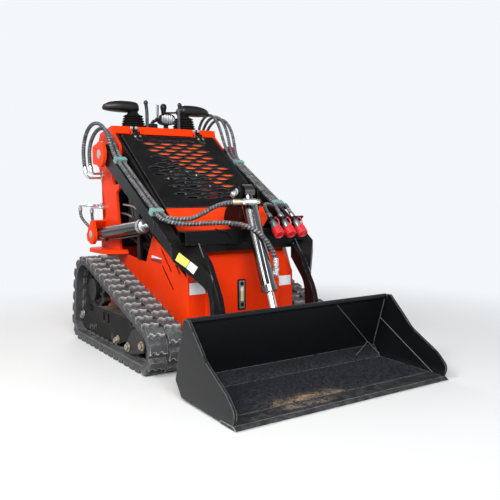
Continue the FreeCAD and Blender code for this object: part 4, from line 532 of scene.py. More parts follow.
sprocket_ring = [
    (SPROCKET[0] + SPROCKET_BOLT_RING * math.cos(angle), SPROCKET[1] + SPROCKET_BOLT_RING * math.sin(angle))
    for angle in (math.tau * i / SPROCKET_BOLTS for i in range(SPROCKET_BOLTS))
]
FRAME_BOLTS = (
    # name, distance out, places along and up, slot, finish, size
    ("idler_guard_bolts_", GUARD_OUTER, ((-232, 90), (-405, 126)), "dark_steel", RUBBED_BRONZE, 1.7),
    ("roller_bolts_", FRAME_FACE, ((-61, 96), (-28, 80)), "dark_steel", RUBBED_BRONZE, 1.4),
    ("rear_roller_bolts_", FRAME_FACE, ((275, 100), (345, 92)), "dark_steel", RUNNING_STEEL, 1.4),
    ("drive_bolts_", SPROCKET_FACE, sprocket_ring, "dark_steel", RUNNING_STEEL, 1.2),
    ("tensioner_nut_", FRAME_FACE, ((485, 150), (512, 128)), "zinc", ZINC, 1.5),
)
for side, sx in SIDES:
    dress_node("track_frame_" + side, FRAME_BLACK, 0.002)
    dress_node("track_wheels_" + side, RUNNING_STEEL, 0.003)
    dress_node("sprocket_" + side, RUNNING_STEEL)
    thick_plate(
        "idler_guard_" + side, GUARD_OUTLINE, sx * GUARD_INNER, sx * GUARD_OUTER, "x", RUNNING_STEEL,
        0.003,
    )
    for name, out, spots, slot, finish, size in FRAME_BOLTS:
        places = [(sx * out, y, z) for y, z in spots]
        bolt_row(name + side, places, "+x" if sx > 0 else "-x", "chassis", finish, size)


# Track belts. Each is an endless moulded rubber band with two staggered rows of lugs,
# whose zig-zag edges are scuffed pale, packed with dry dust and painted paler still as a
# highlight where they catch the light.

BELT_WHEELS = ((-436.0, 120.0, 120.0), (*SPROCKET, 190.0), (487.0, 105.0, 105.0))
BELT_MIDDLE, BELT_HALF = 447.0, 90.0
BELT_INSIDE, RIB_DEPTH = 47, 55
LUG_HEIGHT, LUG_ROW = 22.0, 48.0
LUGS, STEPS_PER_LUG = 37, 6


def belt_runs(depth):
    """The loop's straight runs and arcs at a depth under the lug tips."""
    runs = []
    for i in range(3):
        (ya, za, ra), (yb, zb, rb) = BELT_WHEELS[i], BELT_WHEELS[(i + 1) % 3]
        span = math.hypot(yb - ya, zb - za)
        normal = math.atan2(zb - za, yb - ya) + math.acos((ra - rb) / span)
        run = math.sqrt(span ** 2 - (ra - rb) ** 2)
        runs.append((normal, run, (ya, za), ra - depth, (yb, zb), rb - depth))
    return runs


def belt_point(share, depth, height=0.0):
    """Place and outward angle at a share of the loop's length."""
    runs = belt_runs(depth)
    parts = []
    for i, (normal, run, start, radius, end, end_radius) in enumerate(runs):
        turn = (normal - runs[(i + 1) % 3][0]) % math.tau
        parts += [("run", run, normal, start, radius), ("arc", turn * end_radius, normal, end, end_radius)]
    left = (share % 1.0) * sum(part[1] for part in parts)
    for kind, length, normal, centre, radius in parts:
        if left <= length:
            break
        left -= length
    angle = normal if kind == "run" else normal - left / radius
    along = left if kind == "run" else 0.0
    y = centre[0] + (radius + height) * math.cos(angle) + along * math.sin(angle)
    z = centre[1] + (radius + height) * math.sin(angle) - along * math.cos(angle)
    return y, z, angle


def moulded_rubber(name, tone, pale, amount):
    """Dark rubber whose scuffed faces, marked on the mesh, are pale with dust and painted pale as a highlight."""
    made, tree, shader = new_finish(name)
    grain = place_group(tree, SURFACE_GRAIN, fine=260.0, ripple=26.0, share=0.8)
    dusty = place_group(tree, SETTLED_DUST, amount=amount, ground=0.55, scale=14.0)["Mask"]
    marked = add_node(tree, "ShaderNodeAttribute", attribute_name="scuff_and_highlight")["Fac"]
    rubbed = place_group(tree, WORN_EDGES, reach=0.004, amount=0.95, scale=60.0)["Mask"]
    broken = sum_node(tree, "MULTIPLY_ADD", band_node(tree, grain["Height"], 0.55, 1.0), 0.6, 0.4)
    scuff_and_highlight = sum_node(tree, "MULTIPLY", marked, broken)
    scuff_and_highlight = sum_node(tree, "MAXIMUM", scuff_and_highlight, sum_node(tree, "MULTIPLY", rubbed, 0.4))
    base = mixed_colour(tree, band_node(tree, grain["Tone"], 0.35, 0.65), dimmed(tone, 0.62), tone)
    base = mixed_colour(tree, dusty, base, colour(146, 145, 143))
    feed(tree, shader, {
        # the marked rims are painted pale: scuffing and dust, and a painted highlight where the lug edges catch the
        # light
        "Base Color": mixed_colour(tree, scuff_and_highlight, base, pale),
        "Roughness": mixed_value(tree, dusty, 0.62, 0.95),
        "Normal": raised_by(tree, grain["Height"], 0.35, 0.0015),
    })
    return made


BELT_RUBBER = moulded_rubber("belt_rubber", colour(46, 48, 53), colour(196, 194, 190), 0.38)


def lug_pattern():
    """One lug of a row: flat top, zig-zag back wall, sloped front. Its own z is outward."""
    stations = ((-42, 0), (-37, 0), (-29, 11), (-18, 11), (-10, -1), (-1, -1), (6, 9), (16, 9), (24, -2), (42, -2))
    # along the belt, height and how pale with scuffing and painted highlight, from the back wall over the top to the
    # front
    section = (
        (-28, -4, 0.1), (-26, 3, 0.12), (-24.5, 17, 0.45), (-22, 22, 1.0), (-19.5, 22, 0.0), (17, 22, 0),
        (21, 20, 0), (27, 0, 0), (28, -4, 0),
    )
    shape = bmesh.new()
    layer = shape.verts.layers.float.new("scuff_and_highlight")
    grid = []
    for x, zigzag in stations:
        line = []
        for step, (along, high, scuff_and_highlight) in enumerate(section):
            shift = zigzag if step < 5 else zigzag * 0.35
            vert = shape.verts.new((x / 1000.0, (along + shift) / 1000.0, high / 1000.0))
            vert[layer] = scuff_and_highlight
            line.append(vert)
        grid.append(line)
    for a, b in zip(grid, grid[1:]):
        for i in range(len(section) - 1):
            shape.faces.new((a[i], a[i + 1], b[i + 1], b[i]))
    for line in (grid[0], grid[-1]):
        shape.faces.new(line)
    bmesh.ops.recalc_face_normals(shape, faces=shape.faces)
    part = add_object("lug_pattern", mesh_from(shape, "lug"))
    part.hide_render = True
    return part


def belt_band(sx):
    """The carcass: a rounded band with a groove down its middle and guide ribs inside."""
    half = BELT_HALF
    section = [(-half + 2, 22), (-8, 22), (-5, 25), (5, 25), (8, 22), (half - 2, 22), (half, 25), (half, 44)]
    section += [(half - 3, BELT_INSIDE), (46, BELT_INSIDE), (44, RIB_DEPTH), (30, RIB_DEPTH), (28, BELT_INSIDE)]
    section += [(-28, BELT_INSIDE), (-30, RIB_DEPTH), (-44, RIB_DEPTH), (-46, BELT_INSIDE), (-half + 3, BELT_INSIDE)]
    section += [(-half, 44), (-half, 25)]
    steps, count = LUGS * STEPS_PER_LUG, len(section)
    verts, faces = [], []
    for i in range(steps):
        y, z, angle = belt_point(i / steps, LUG_HEIGHT)
        between_ribs = i % STEPS_PER_LUG >= STEPS_PER_LUG / 2
        for x, depth in section:
            drop = (BELT_INSIDE if between_ribs and depth == RIB_DEPTH else depth) - LUG_HEIGHT
            verts.append(place(sx * (BELT_MIDDLE + x), y - drop * math.cos(angle), z - drop * math.sin(angle)))
        for j in range(count):
            k, m = (i + 1) % steps, (j + 1) % count
            faces.append((i * count + j, i * count + m, k * count + m, k * count + j))
    return verts, faces


LUG = lug_pattern()
for side, sx in SIDES:
    spots = []
    for row, phase in ((-1, 0.0), (1, 0.5)):
        for i in range(LUGS):
            y, z, angle = belt_point((i + phase) / LUGS, LUG_HEIGHT)
            spots.append((place(sx * (BELT_MIDDLE + row * LUG_ROW), y, z), (angle - math.pi / 2, 0.0, 0.0)))
    lugs = set_out("lugs_" + side, LUG, spots, BELT_RUBBER)
    band = mesh_piece("track_band_" + side, *belt_band(sx), BELT_RUBBER)
    joined = bmesh.new()
    joined.from_mesh(band.data)
    joined.from_mesh(lugs.data)
    joined.to_mesh(band.data)
    joined.free()
    bpy.data.objects.remove(lugs)
    finish_piece(band, "chassis", 32)
    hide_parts("track_belt_" + side)


# Body. The tub, its front panel and the sloping cowl are folded sheet in orange-red paint,
# welded at the corners, with slanted vents in the sides and blank films on their faces.

ORANGE = coated_steel(
    "orange_paint", colour(240, 60, 14), 0.36, colour(120, 60, 40), wear=0.2, dust=0.04, ground=0.25,
    gleam=0.07, bump=0.05, ripple=5.0, shift=0.03,
)
# a slightly darker copy of the orange paint for the forward-facing front panel: painted shade of a face turned from
# the key light
ORANGE_SHADED = coated_steel(
    "orange_paint_front_shaded", colour(236, 54, 11), 0.36, colour(120, 60, 40), wear=0.2, dust=0.05, ground=0.25,
    gleam=0.1, bump=0.05, ripple=5.0, shift=0.05,
)
for node in ("tub_sides", "rear_wall", "cowl"):
    dress_node(node, ORANGE, 0.002)
dress_node("front_panel", ORANGE_SHADED, 0.002)
DARK_STEEL = coated_steel(
    "dark_steel", colour(26, 26, 27), 0.5, colour(110, 105, 100), wear=0.4, dust=0.25, bump=0.2, gleam=0.3
)
dress_node("tub_floor", DARK_STEEL, 0.0015)


def decal_film(name, tone, second=None, split=0.0):
    """Blank printed film with a slight sheen, whose second colour lies above a height in metres."""
    made, tree, shader = new_finish(name)
    grain = place_group(tree, SURFACE_GRAIN, fine=500.0, ripple=30.0)
    base = mixed_colour(tree, band_node(tree, grain["Tone"], 0.3, 0.7), dimmed(tone, 0.86), tone)
    if second:
        spot = add_node(tree, "ShaderNodeTexCoord")["Object"]
        above = add_node(tree, "ShaderNodeSeparateXYZ", {0: spot})["Z"]
        base = mixed_colour(tree, band_node(tree, above, split - 0.0006, split + 0.0006), base, second)
    dusty = place_group(tree, SETTLED_DUST, amount=0.15, ground=0.08)["Mask"]
    feed(tree, shader, {"Base Color": mixed_colour(tree, dusty, base, DUST), "Roughness": 0.38})
    return made


def laid_film(name, corners, finish, body):
    """A thin film laid on a flat face. Its corners run anticlockwise as seen from outside."""
    under = [place(*corner) for corner in corners]
    lift = (under[1] - under[0]).cross(under[2] - under[0]).normalized() * 0.0008
    return finish_piece(mesh_piece(name, *prism(under, [at + lift for at in under]), finish), body)


def front_film(name, corners, y, finish):
    """A film on a face that looks forward. Corners are (x, z)."""
    return laid_film(name, [(x, y, z) for x, z in corners], finish, "chassis")


PANEL_Y, PANEL_RIB, TUB_SIDE = -478.0, 12.0, 306
WHITE_FILM = decal_film("white_film", colour(245, 247, 250))
right_corners = ((-298, 355), (-214, 355), (-214, 382), (-241, 411), (-298, 411))
front_film("front_film_right", right_corners, PANEL_Y, WHITE_FILM)
rib_corners = ((-211, 356), (-197, 356), (-197, 364), (-211, 379))
front_film("front_film_rib", rib_corners, PANEL_Y - PANEL_RIB, WHITE_FILM)
front_film("front_film_left", ((214, 357), (293, 358), (293, 407), (214, 407)), PANEL_Y, WHITE_FILM)
RED_WHITE_FILM = decal_film("red_white_film", colour(150, 20, 24), colour(232, 228, 226), 0.482 + 0.66 * 0.032)
SIDE_FILM = ((-74, 518), (-192, 508), (-186, 480), (-60, 489))
for side, sx in SIDES:
    corners = [(sx * TUB_SIDE, y, z) for y, z in SIDE_FILM]
    laid_film("side_film_" + side, corners[::sx], RED_WHITE_FILM, "chassis")


# Oil gauge. A sight glass in a black frame, screwed to the front panel with two plated
# bolts, its window showing cream-coloured oil.

GAUGE_BLACK = coated_steel("gauge_black", colour(14, 14, 16), 0.4, dust=0.1, gleam=0.3)
OIL_WINDOW = decal_film("oil_window", colour(214, 196, 150), colour(232, 224, 200), 0.30 + 0.7 * 0.075)
GAUGE_FACE, GAUGE_PLATE, GAUGE_GLASS = PANEL_Y - 7, PANEL_Y - 9, PANEL_Y - 12


def oblong(a0, a1, b0, b1):
    return ((a0, b0), (a1, b0), (a1, b1), (a0, b1))


thick_plate(
    "gauge_frame", ((-30, 256), (-34, 262), (-34, 404), (-30, 410), (8, 410), (12, 404), (12, 262), (8, 256)),
    GAUGE_FACE, PANEL_Y, "y", GAUGE_BLACK,
)
thick_plate("gauge_plate", oblong(-26, 4, 264, 402), GAUGE_PLATE, GAUGE_FACE, "y", ZINC, 0.0008)
thick_plate("gauge_window", oblong(-19, -3, 300, 372), GAUGE_GLASS, GAUGE_PLATE, "y", OIL_WINDOW, segments=3)
gauge_screws = [(-11, GAUGE_PLATE, z) for z in (284, 388)]
bolt_row("gauge_bolts", gauge_screws, "-y", "chassis", GAUGE_BLACK, 0.75)
bolt_row(
    "panel_screws", [(x, PANEL_Y, z) for x in (-286, 286) for z in (430, 232)], "-y", "chassis",
    ORANGE_SHADED, 0.7,
)


# Engine bay. A plain engine block and the valve bank, with black hoses, bright pipes, a
# green loom and a red oil filter, an orange liner sheet and, behind them all, a dark sheet
# that stands in for the bay's deep shade.

ENGINE_BLACK = coated_steel(
    "engine_black", colour(16, 16, 18), 0.45, colour(130, 130, 130), wear=0.5, dust=0.12, bump=0.5,
    ripple=40.0, gleam=0.25,
)
dress_node("engine", ENGINE_BLACK, 0.004)
dress_node("valve_block", DARK_STEEL, 0.002)


def spline_points(name, points):
    """Points of the smooth line that a route's points steer."""
    data = bpy.data.curves.new(name + "_line", "CURVE")
    data.dimensions = "3D"
    data.resolution_u = 6
    line = data.splines.new("NURBS")
    line.points.add(len(points) - 1)
    for spot, at in zip(line.points, points):
        spot.co = (at[0], at[1], at[2], 1.0)
    line.order_u = 3
    line.use_endpoint_u = True
    holder = add_object(name + "_line", data)
    bpy.context.view_layer.update()
    mesh = bpy.data.meshes.new_from_object(holder.evaluated_get(bpy.context.evaluated_depsgraph_get()))
    path = [v.co.copy() for v in mesh.vertices]
    bpy.data.objects.remove(holder)
    bpy.data.meshes.remove(mesh)
    return path


def tube_mesh(name, path, radius, finish, sides=16):
    """A tube along a path, with its length and turn kept in a UV map for wraps and braids."""
    shape = bmesh.new()
    uv = shape.loops.layers.uv.new("wrap")
    upright = abs((path[1] - path[0]).normalized().z) > 0.9
    ring_up = Vector((0, 1, 0)) if upright else Vector((0, 0, 1))
    rings, lengths, along = [], [], 0.0
    for i, at in enumerate(path):
        way = (path[min(i + 1, len(path) - 1)] - path[max(i - 1, 0)]).normalized()
        ring_up = (ring_up - way * ring_up.dot(way)).normalized()
        side = way.cross(ring_up)
        if i:
            along += (at - path[i - 1]).length
        lengths.append(along)
        rings.append([
            shape.verts.new(at + (ring_up * math.cos(angle) + side * math.sin(angle)) * radius)
            for angle in (math.tau * k / sides for k in range(sides))
        ])
    for count, face in enumerate(skin_rings(shape, rings)):
        i, k = divmod(count, sides)
        for loop, (turn, ring) in zip(face.loops, ((k, i), (k + 1, i), (k + 1, i + 1), (k, i + 1))):
            loop[uv].uv = (turn / sides, lengths[ring])
    bmesh.ops.recalc_face_normals(shape, faces=shape.faces)
    return add_object(name, mesh_from(shape, name, finish))


BAY_RUBBER = coated_steel("bay_rubber", colour(20, 20, 22), 0.4, dust=0.2, bump=0.3, ripple=60.0, gleam=0.4)
FILTER_RED = coated_steel("filter_red", colour(170, 34, 30), 0.4, dust=0.15, bump=0.1)
LOOM_GREEN = coated_steel("loom_green", colour(96, 112, 86), 0.5, dust=0.2, bump=0.3, ripple=60.0)
BAY_LINES = (
    # name, radius in mm, finish, route
    ("bay_line_1", 9, BAY_RUBBER, (
        (-262, -60, 556), (-268, -20, 640), (-258, 60, 700), (-240, 160, 690), (-196, 240, 620),
    )),
    ("bay_line_2", 8, BAY_RUBBER, (
        (-250, 10, 556), (-262, 60, 620), (-268, 130, 720), (-262, 200, 800), (-214, 250, 830),
    )),
    ("bay_line_3", 10, BAY_RUBBER, (
        (-240, 120, 520), (-274, 150, 600), (-280, 190, 720), (-276, 250, 840), (-250, 300, 900),
    )),
    ("bay_line_4", 7, BAY_RUBBER, (
        (-280, -130, 520), (-284, -90, 590), (-270, 0, 640), (-278, 110, 640), (-284, 200, 600),
    )),
    ("bay_line_5", 9, BAY_RUBBER, (
        (250, 0, 556), (262, 60, 640), (270, 150, 720), (262, 230, 760), (214, 260, 700),
    )),
    ("bay_pipe_1", 6, ZINC, (
        (-306, 307, 780), (-292, 240, 776), (-284, 160, 760), (-286, 80, 700),
    )),
    ("bay_pipe_2", 6, ZINC, (
        (-306, 349, 731), (-290, 300, 728), (-282, 200, 700), (-284, 120, 660),
    )),
    ("bay_pipe_3", 9, ZINC, (
        (-60, -120, 790), (0, -60, 830), (80, 10, 850), (120, 60, 830),
    )),
    ("bay_pipe_4", 7, ZINC, (
        (-30, -40, 850), (40, 20, 890), (100, 80, 900), (140, 120, 860),
    )),
    ("bay_line_6", 12, BAY_RUBBER, (
        (-120, -30, 790), (-60, 30, 870), (20, 90, 930), (120, 150, 930),
    )),
    ("bay_line_7", 11, BAY_RUBBER, (
        (-252, 60, 566), (-282, 90, 640), (-288, 170, 700), (-282, 250, 690), (-262, 300, 620),
    )),
    ("bay_line_8", 9, BAY_RUBBER, (
        (-244, -90, 560), (-282, -60, 600), (-286, 20, 690), (-280, 90, 790), (-244, 150, 850),
    )),
    ("bay_line_9", 8, BAY_RUBBER, (
        (-290, -20, 560), (-288, 60, 580), (-290, 150, 566), (-288, 250, 600), (-270, 300, 700),
    )),
    ("bay_pipe_5", 9, ZINC, (
        (-120, 130, 770), (-110, 150, 940), (-50, 130, 988), (20, 70, 945), (60, 30, 860), (70, 20, 770),
    )),
    ("bay_pipe_6", 6, ZINC, (
        (-30, 60, 760), (-20, 100, 900), (20, 120, 975), (90, 90, 955), (130, 40, 860), (130, 30, 770),
    )),
    ("bay_loom", 13, LOOM_GREEN, (
        (-90, 60, 770), (-90, 110, 920), (-30, 110, 965), (30, 30, 915), (50, -20, 800),
    )),
    ("oil_filter", 32, FILTER_RED, (
        (60, 30, 860), (84, 12, 838), (110, -6, 815), (136, -24, 792),
    )),
    ("bay_line_10", 10, BAY_RUBBER, (
        (-236, 170, 560), (-280, 200, 640), (-286, 230, 760), (-284, 290, 870), (-252, 300, 960),
    )),
)
liner = ((-205, 606), (262, 606), (262, 1085), (225, 1085), (-205, 772))
thick_plate("bay_liner", liner, 291.0, 294.0, "x", ORANGE, 0)
# a dark sheet at the back of the bay stands in for the shade deep inside it: painted shade
thick_plate("bay_sheet", oblong(-286, 286, 520, 1090), 592.0, 596.0, "y", BAY_RUBBER, 0)
for name, radius, finish, route in BAY_LINES:
    tube = tube_mesh(name, spline_points(name, [place(*p) for p in route]), radius / 1000.0, finish, 12)
    finish_piece(tube, "chassis", 60)


# Posts and fenders. Thick flame-cut side plates in the same paint carry the arms' pivots
# and the lift cylinders' feet; folded boxes beside them cover the tracks' rear.

LIFT_FOOT = (522, 606)
for side, _ in SIDES:
    dress_node("post_" + side, ORANGE, 0.0025)
dress_node("fenders", ORANGE, 0.006)


def turned_piece(name, base, way, profile, finish, sides=32):
    """A lathe-turned piece. The profile is (distance along, radius) in millimetres."""
    way = Vector(way).normalized()
    side = way.orthogonal().normalized()
    up = way.cross(side)
    base = place(*base)
    verts, faces = [], []
    for along, radius in profile:
        for k in range(sides):
            angle = math.tau * k / sides
            out = side * math.cos(angle) + up * math.sin(angle)
            verts.append(base + way * along / 1000.0 + out * max(radius, 0.01) / 1000.0)
    for i in range(len(profile) - 1):
        for k in range(sides):
            m = (k + 1) % sides
            faces.append((i * sides + k, i * sides + m, (i + 1) * sides + m, (i + 1) * sides + k))
    faces.append(tuple(range(sides - 1, -1, -1)))
    faces.append(tuple(range((len(profile) - 1) * sides, len(profile) * sides)))
    return mesh_piece(name, verts, faces, finish)


PIN_FACE = coated_steel(
    "pin_face", colour(205, 203, 200), 0.42, colour(120, 118, 114), wear=0.9, dust=0.15, metal=0.55,
    bump=0.4, ripple=120.0,
)
for side, sx in SIDES:
    for name, y, z, radius in (("pivot", 340, 1063, 25), ("lift_foot", *LIFT_FOOT, 21)):
        profile = [(0, radius * 0.9), (0, radius * 1.08), (3, radius * 1.08), (4, radius), (5, radius * 0.62)]
        profile += [(3.4, radius * 0.55), (3.4, 4), (5.5, 3), (5.6, 0)]
        cap = turned_piece(name + "_pin_" + side, (sx * 430, y, z), (sx, 0, 0), profile, PIN_FACE)
        finish_piece(cap, "chassis")


# Tower. A bent console top and an upright rear sheet join the posts; inside them black
# rails carry the hood and its hinges.

BLACK = coated_steel(
    "black_paint", colour(15, 15, 17), 0.38, colour(96, 96, 98), wear=0.25, dust=0.07, ground=0.1,
    bump=0.12, gleam=0.25,
)
dress_node("console_top", ORANGE, 0.002)
dress_node("rear_cover", ORANGE, 0.002)
dress_node("hood_rails", BLACK, 0.0015)


# Hood. A flanged black sheet with rows of slots to let the heat out, hung from two hinges
# with plated bolts, its rims rubbed pale, partly as a painted edge highlight. An orange
# lining, painted brighter than the body as light on a face in the hood's shade, closes all
# but the middle of it from below.

# its rims rub pale: edge wear, and partly a painted edge highlight along the flanges
HOOD_BLACK = coated_steel(
    "hood_black", colour(14, 14, 16), 0.42, colour(158, 159, 162), wear=0.8, reach=0.0035, dust=0.03,
    ground=0.1, bump=0.1, gleam=0.15,
)
# a brighter copy of the orange: painted light on the lining, which sits in the hood's shade
LINING_ORANGE_LIT = coated_steel("lining_orange_lit", colour(255, 92, 34), 0.5, dust=0.1, gleam=0.1, bump=0.05, shift=0.02)
HOOD_FOOT = Vector((0.0, -232.0, 767.0))
HOOD_HEAD = Vector((0.0, 332.0, 1177.0))
HOOD_RUN = HOOD_HEAD - HOOD_FOOT
SLOT_ROWS, SLOT_STEP, SLOT_REACH = 17, 104.0, (42.5, 7.0)
FIRST_ROW, ROWS_SHARE = 0.12, 0.81
PLATE_DEPTH, LINING_DEPTH = 6.0, 7.6
HINGE_X, HINGE_BOLT_X, HINGE_BOLT_BACK = 205, 14, 20


def open_slots(piece, wider, taller):
    """Spreads each slot's rim from its middle, by so much across and along the slope."""
    way = HOOD_RUN.normalized()
    middles = []
    for row in range(SLOT_ROWS):
        along = HOOD_RUN.length * (FIRST_ROW + ROWS_SHARE * row / (SLOT_ROWS - 1.0))
        offset = SLOT_STEP / 2.0 if row % 2 else 0.0
        middles += [(offset + i * SLOT_STEP, along) for i in range(-3, 4)]
    for vert in piece.data.vertices:
        at = (vert.co - place(0, 0, 0)) * 1000.0 - HOOD_FOOT
        if abs(at.cross(way).x) > PLATE_DEPTH:
            continue
        for x, along in middles:
            dx, da = at.x - x, at.dot(way) - along
            if abs(dx) < SLOT_REACH[0] and abs(da) < SLOT_REACH[1]:
                vert.co += Vector((dx * (wider - 1.0), 0, 0)) / 1000.0 + way * da * (taller - 1.0) / 1000.0
                break


open_slots(dress_node("hood", HOOD_BLACK, 0.0012), 1.1, 1.6)
lining = [
    (x, y, HOOD_HEAD.z + (y - HOOD_HEAD.y) * HOOD_RUN.z / HOOD_RUN.y - LINING_DEPTH)
    for x, y in ((-70, 120), (-10, 60), (60, 20), (110, -80), (284, -80), (284, 290), (-190, 290), (-190, 230))
]
laid_film("hood_lining", lining, LINING_ORANGE_LIT, "hood")
slope = math.atan2(HOOD_RUN.z, HOOD_RUN.y)
bolt_y = HOOD_HEAD.y - HINGE_BOLT_BACK * math.cos(slope)
bolt_z = HOOD_HEAD.z - HINGE_BOLT_BACK * math.sin(slope) + 3
hinge_bolts = []
for count, x in enumerate((-HINGE_X, HINGE_X)):
    hinge_bolts += [(x + dx, bolt_y, bolt_z) for dx in (-HINGE_BOLT_X, HINGE_BOLT_X)]
    leaf = ((x - 24, 366, 1189), (x + 24, 366, 1189), (x + 24, 376.5, 1232), (x - 24, 376.5, 1232))
    laid_film("hinge_leaf_%d" % count, leaf, HOOD_BLACK, "chassis")
    leaf_bolts = [(x + dx, 372, 1224) for dx in (-HINGE_BOLT_X, HINGE_BOLT_X)]
    bolt_row("leaf_bolts_%d" % count, leaf_bolts, "-y", "chassis", ZINC, 0.7)
bolt_row("hinge_bolts", hinge_bolts, (slope, 0.0, 0.0), "hood", ZINC, 0.7)


# Controls. Two ribbed rubber boots with joysticks, each under a broad moulded hand rest,
# a grab bar beside each, a lamp and the throttle levers between them, a thigh pad behind.

BOOT_RUBBER = coated_steel("boot_rubber", colour(16, 16, 17), 0.45, dust=0.06, bump=0.3, ripple=60.0, gleam=0.35)
for side, sx in SIDES:
    profile = [(0, 76), (2, 78), (5, 78)]
    for i in range(6):
        low = 6 + 14.5 * i
        wide = 77 - 3.6 * i
        profile += [
            (low, wide - 11), (low + 3, wide - 6), (low + 6, wide - 1), (low + 8.5, wide), (low + 11, wide - 2),
            (low + 13, wide - 10),
        ]
    profile += [(94, 46), (97, 38), (118, 24), (122, 0)]
    boot = turned_piece("boot_" + side, (sx * 168, 468, 1216), (0, 0, 1), profile, BOOT_RUBBER, 40)
    finish_piece(boot, "chassis", 50)
    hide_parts("control_boots")


def moulded_pad(name, x0, x1, y0, y1, z0, z1, finish, drop=0.0, around=12):
    """A rounded elongated pad with full ends, flatter below than above, from a shaped cage."""
    shape = bmesh.new()
    rings = []
    for share, swell in (
        (0.0, 0.45), (0.03, 0.74), (0.1, 0.93), (0.25, 1.0), (0.5, 1.0), (0.68, 0.92), (0.84, 0.74),
        (0.95, 0.5), (1.0, 0.22),
    ):
        rings.append([])
        for angle in (math.tau * k / around for k in range(around)):
            c, s = math.cos(angle), math.sin(angle)
            dy = math.copysign(abs(c) ** 0.7, c) * (y1 - y0) / 2 * swell
            dz = math.copysign(abs(s) ** 0.75, s) * (z1 - z0) / 2 * (0.1 + 0.9 * swell)
            if s < 0:
                dz *= 0.86
            z = (z0 + z1) / 2 + dz - drop * (1.0 - swell)
            rings[-1].append(shape.verts.new(place(x0 + (x1 - x0) * share, (y0 + y1) / 2 + dy, z)))
    skin_rings(shape, rings)
    bmesh.ops.recalc_face_normals(shape, faces=shape.faces)
    piece = add_object(name, mesh_from(shape, name, finish))
    smooth = piece.modifiers.new("rounded", "SUBSURF")
    smooth.levels = smooth.render_levels = 2
    return piece


REST_FOAM = coated_steel("rest_foam", colour(22, 21, 20), 0.36, dust=0.05, bump=0.25, ripple=40.0, gleam=0.4)
for side, sx in SIDES:
    pad = moulded_pad("hand_rest_" + side, sx * 132, sx * 352, 428, 534, 1318, 1394, REST_FOAM, 14.0)
    finish_piece(pad, "chassis", 180)
    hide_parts("hand_rests")
BAR_BLACK = coated_steel(
    "bar_black", colour(34, 36, 40), 0.3, colour(140, 142, 146), wear=0.4, dust=0.08, bump=0.05
)
dress_node("grab_bars", BAR_BLACK, 0)


def bent_rod(name, route, radius, finish, body, sides=12):
    """A rod or rigid line along a smooth route."""
    rod = tube_mesh(name, spline_points(name, [place(*at) for at in route]), radius / 1000.0, finish, sides)
    return finish_piece(rod, body, 60)


quadrant = thick_plate(
    "lever_quadrant", oblong(-75, -20, 440, 520), 1200, 1264, "z", BLACK, 0.006, 3
)
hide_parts("lever_block")
THROTTLE = ((-40, 500, 1255), (-40, 498, 1284), (2, 494, 1296), (4, 492, 1330), (4, 488, 1384))
FEED_LEVER = ((-28, 506, 1255), (-26, 506, 1284), (40, 502, 1300), (46, 500, 1330), (46, 498, 1352))
FEED_GRIP = ((0, 8), (3, 13), (10, 15), (24, 16), (36, 19), (48, 20), (58, 17), (64, 10), (66, 0))
bent_rod("throttle_lever", THROTTLE, 6, BAR_BLACK, "chassis")
thick_plate("throttle_plate", oblong(-7, -1, 1322, 1390), 480, 494, "y", ZINC, 0.001)
bent_rod("feed_lever", FEED_LEVER, 6, BAR_BLACK, "chassis")
grip = turned_piece("feed_grip", (46, 498, 1330), (0, 0, 1), FEED_GRIP, BLACK, 24)
finish_piece(grip, "chassis", 60)
bent_rod("cross_bar", ((46, 496, 1340), (78, 470, 1338), (112, 424, 1337)), 6, BLACK, "chassis")


def ribbed_lens(name, middle, wide, high, ribs, finish):
    """A rounded lamp face with upright ribs, looking forward."""
    cx, y, cz = middle
    verts, faces = [], []
    across, upward = ribs * 6, 9
    for i in range(across + 1):
        for j in range(upward):
            u, v = 2.0 * i / across - 1.0, 2.0 * j / (upward - 1) - 1.0
            reach = (1.0 - abs(u) ** 2.6) ** (1 / 2.6)
            crown = 3.0 * (1.0 - u * u) * (1.0 - v * v)
            rib = 3.0 * math.cos(math.tau * ribs * i / across)
            verts.append(place(cx + u * wide / 2, y - crown - rib, cz + v * reach * high / 2))
    for i in range(across):
        for j in range(upward - 1):
            k = i * upward + j
            faces.append((k, k + upward, k + upward + 1, k + 1))
    return mesh_piece(name, verts, faces, finish)


def oval(cx, cz, wide, high, count=28, power=2.6):
    """Outline of a rounded oblong in the front plane."""
    points = []
    for angle in (math.tau * i / count for i in range(count)):
        c, s = math.cos(angle), math.sin(angle)
        x = math.copysign(abs(c) ** (2 / power), c) * wide / 2
        z = math.copysign(abs(s) ** (2 / power), s) * high / 2
        points.append((cx + x, cz + z))
    return points


LAMP_MIDDLE = (22.0, 1288.0)
LAMP_SILVER = coated_steel("lamp_silver", colour(150, 152, 156), 0.3, dust=0.05, metal=0.85, bump=0.02)
lamp = [
    thick_plate("lamp_housing", oval(*LAMP_MIDDLE, 104, 68), 398, 440, "y", BLACK, 0.008, 3),
    thick_plate("lamp_rim", oval(*LAMP_MIDDLE, 108, 70), 394, 402, "y", BLACK),
    thick_plate("lamp_yoke", ((6, 1222), (38, 1222), (34, 1262), (10, 1262)), 410, 426, "y", BLACK),
]
lens = ribbed_lens("lamp_lens", (LAMP_MIDDLE[0], 392.5, LAMP_MIDDLE[1]), 88, 52, 6, LAMP_SILVER)
lamp.append(finish_piece(lens, "chassis"))
KNOB = ((0, 7), (4, 7), (5, 12), (15, 12), (17, 9), (17, 0))
knob = turned_piece("lamp_knob", (-30, 418, 1284), (-1, 0, 0), KNOB, BLACK, 16)
lamp.append(finish_piece(knob, "chassis"))
for piece in lamp:
    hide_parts("work_lamp")
low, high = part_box("thigh_pad")
PAD_OVERHANG = 6
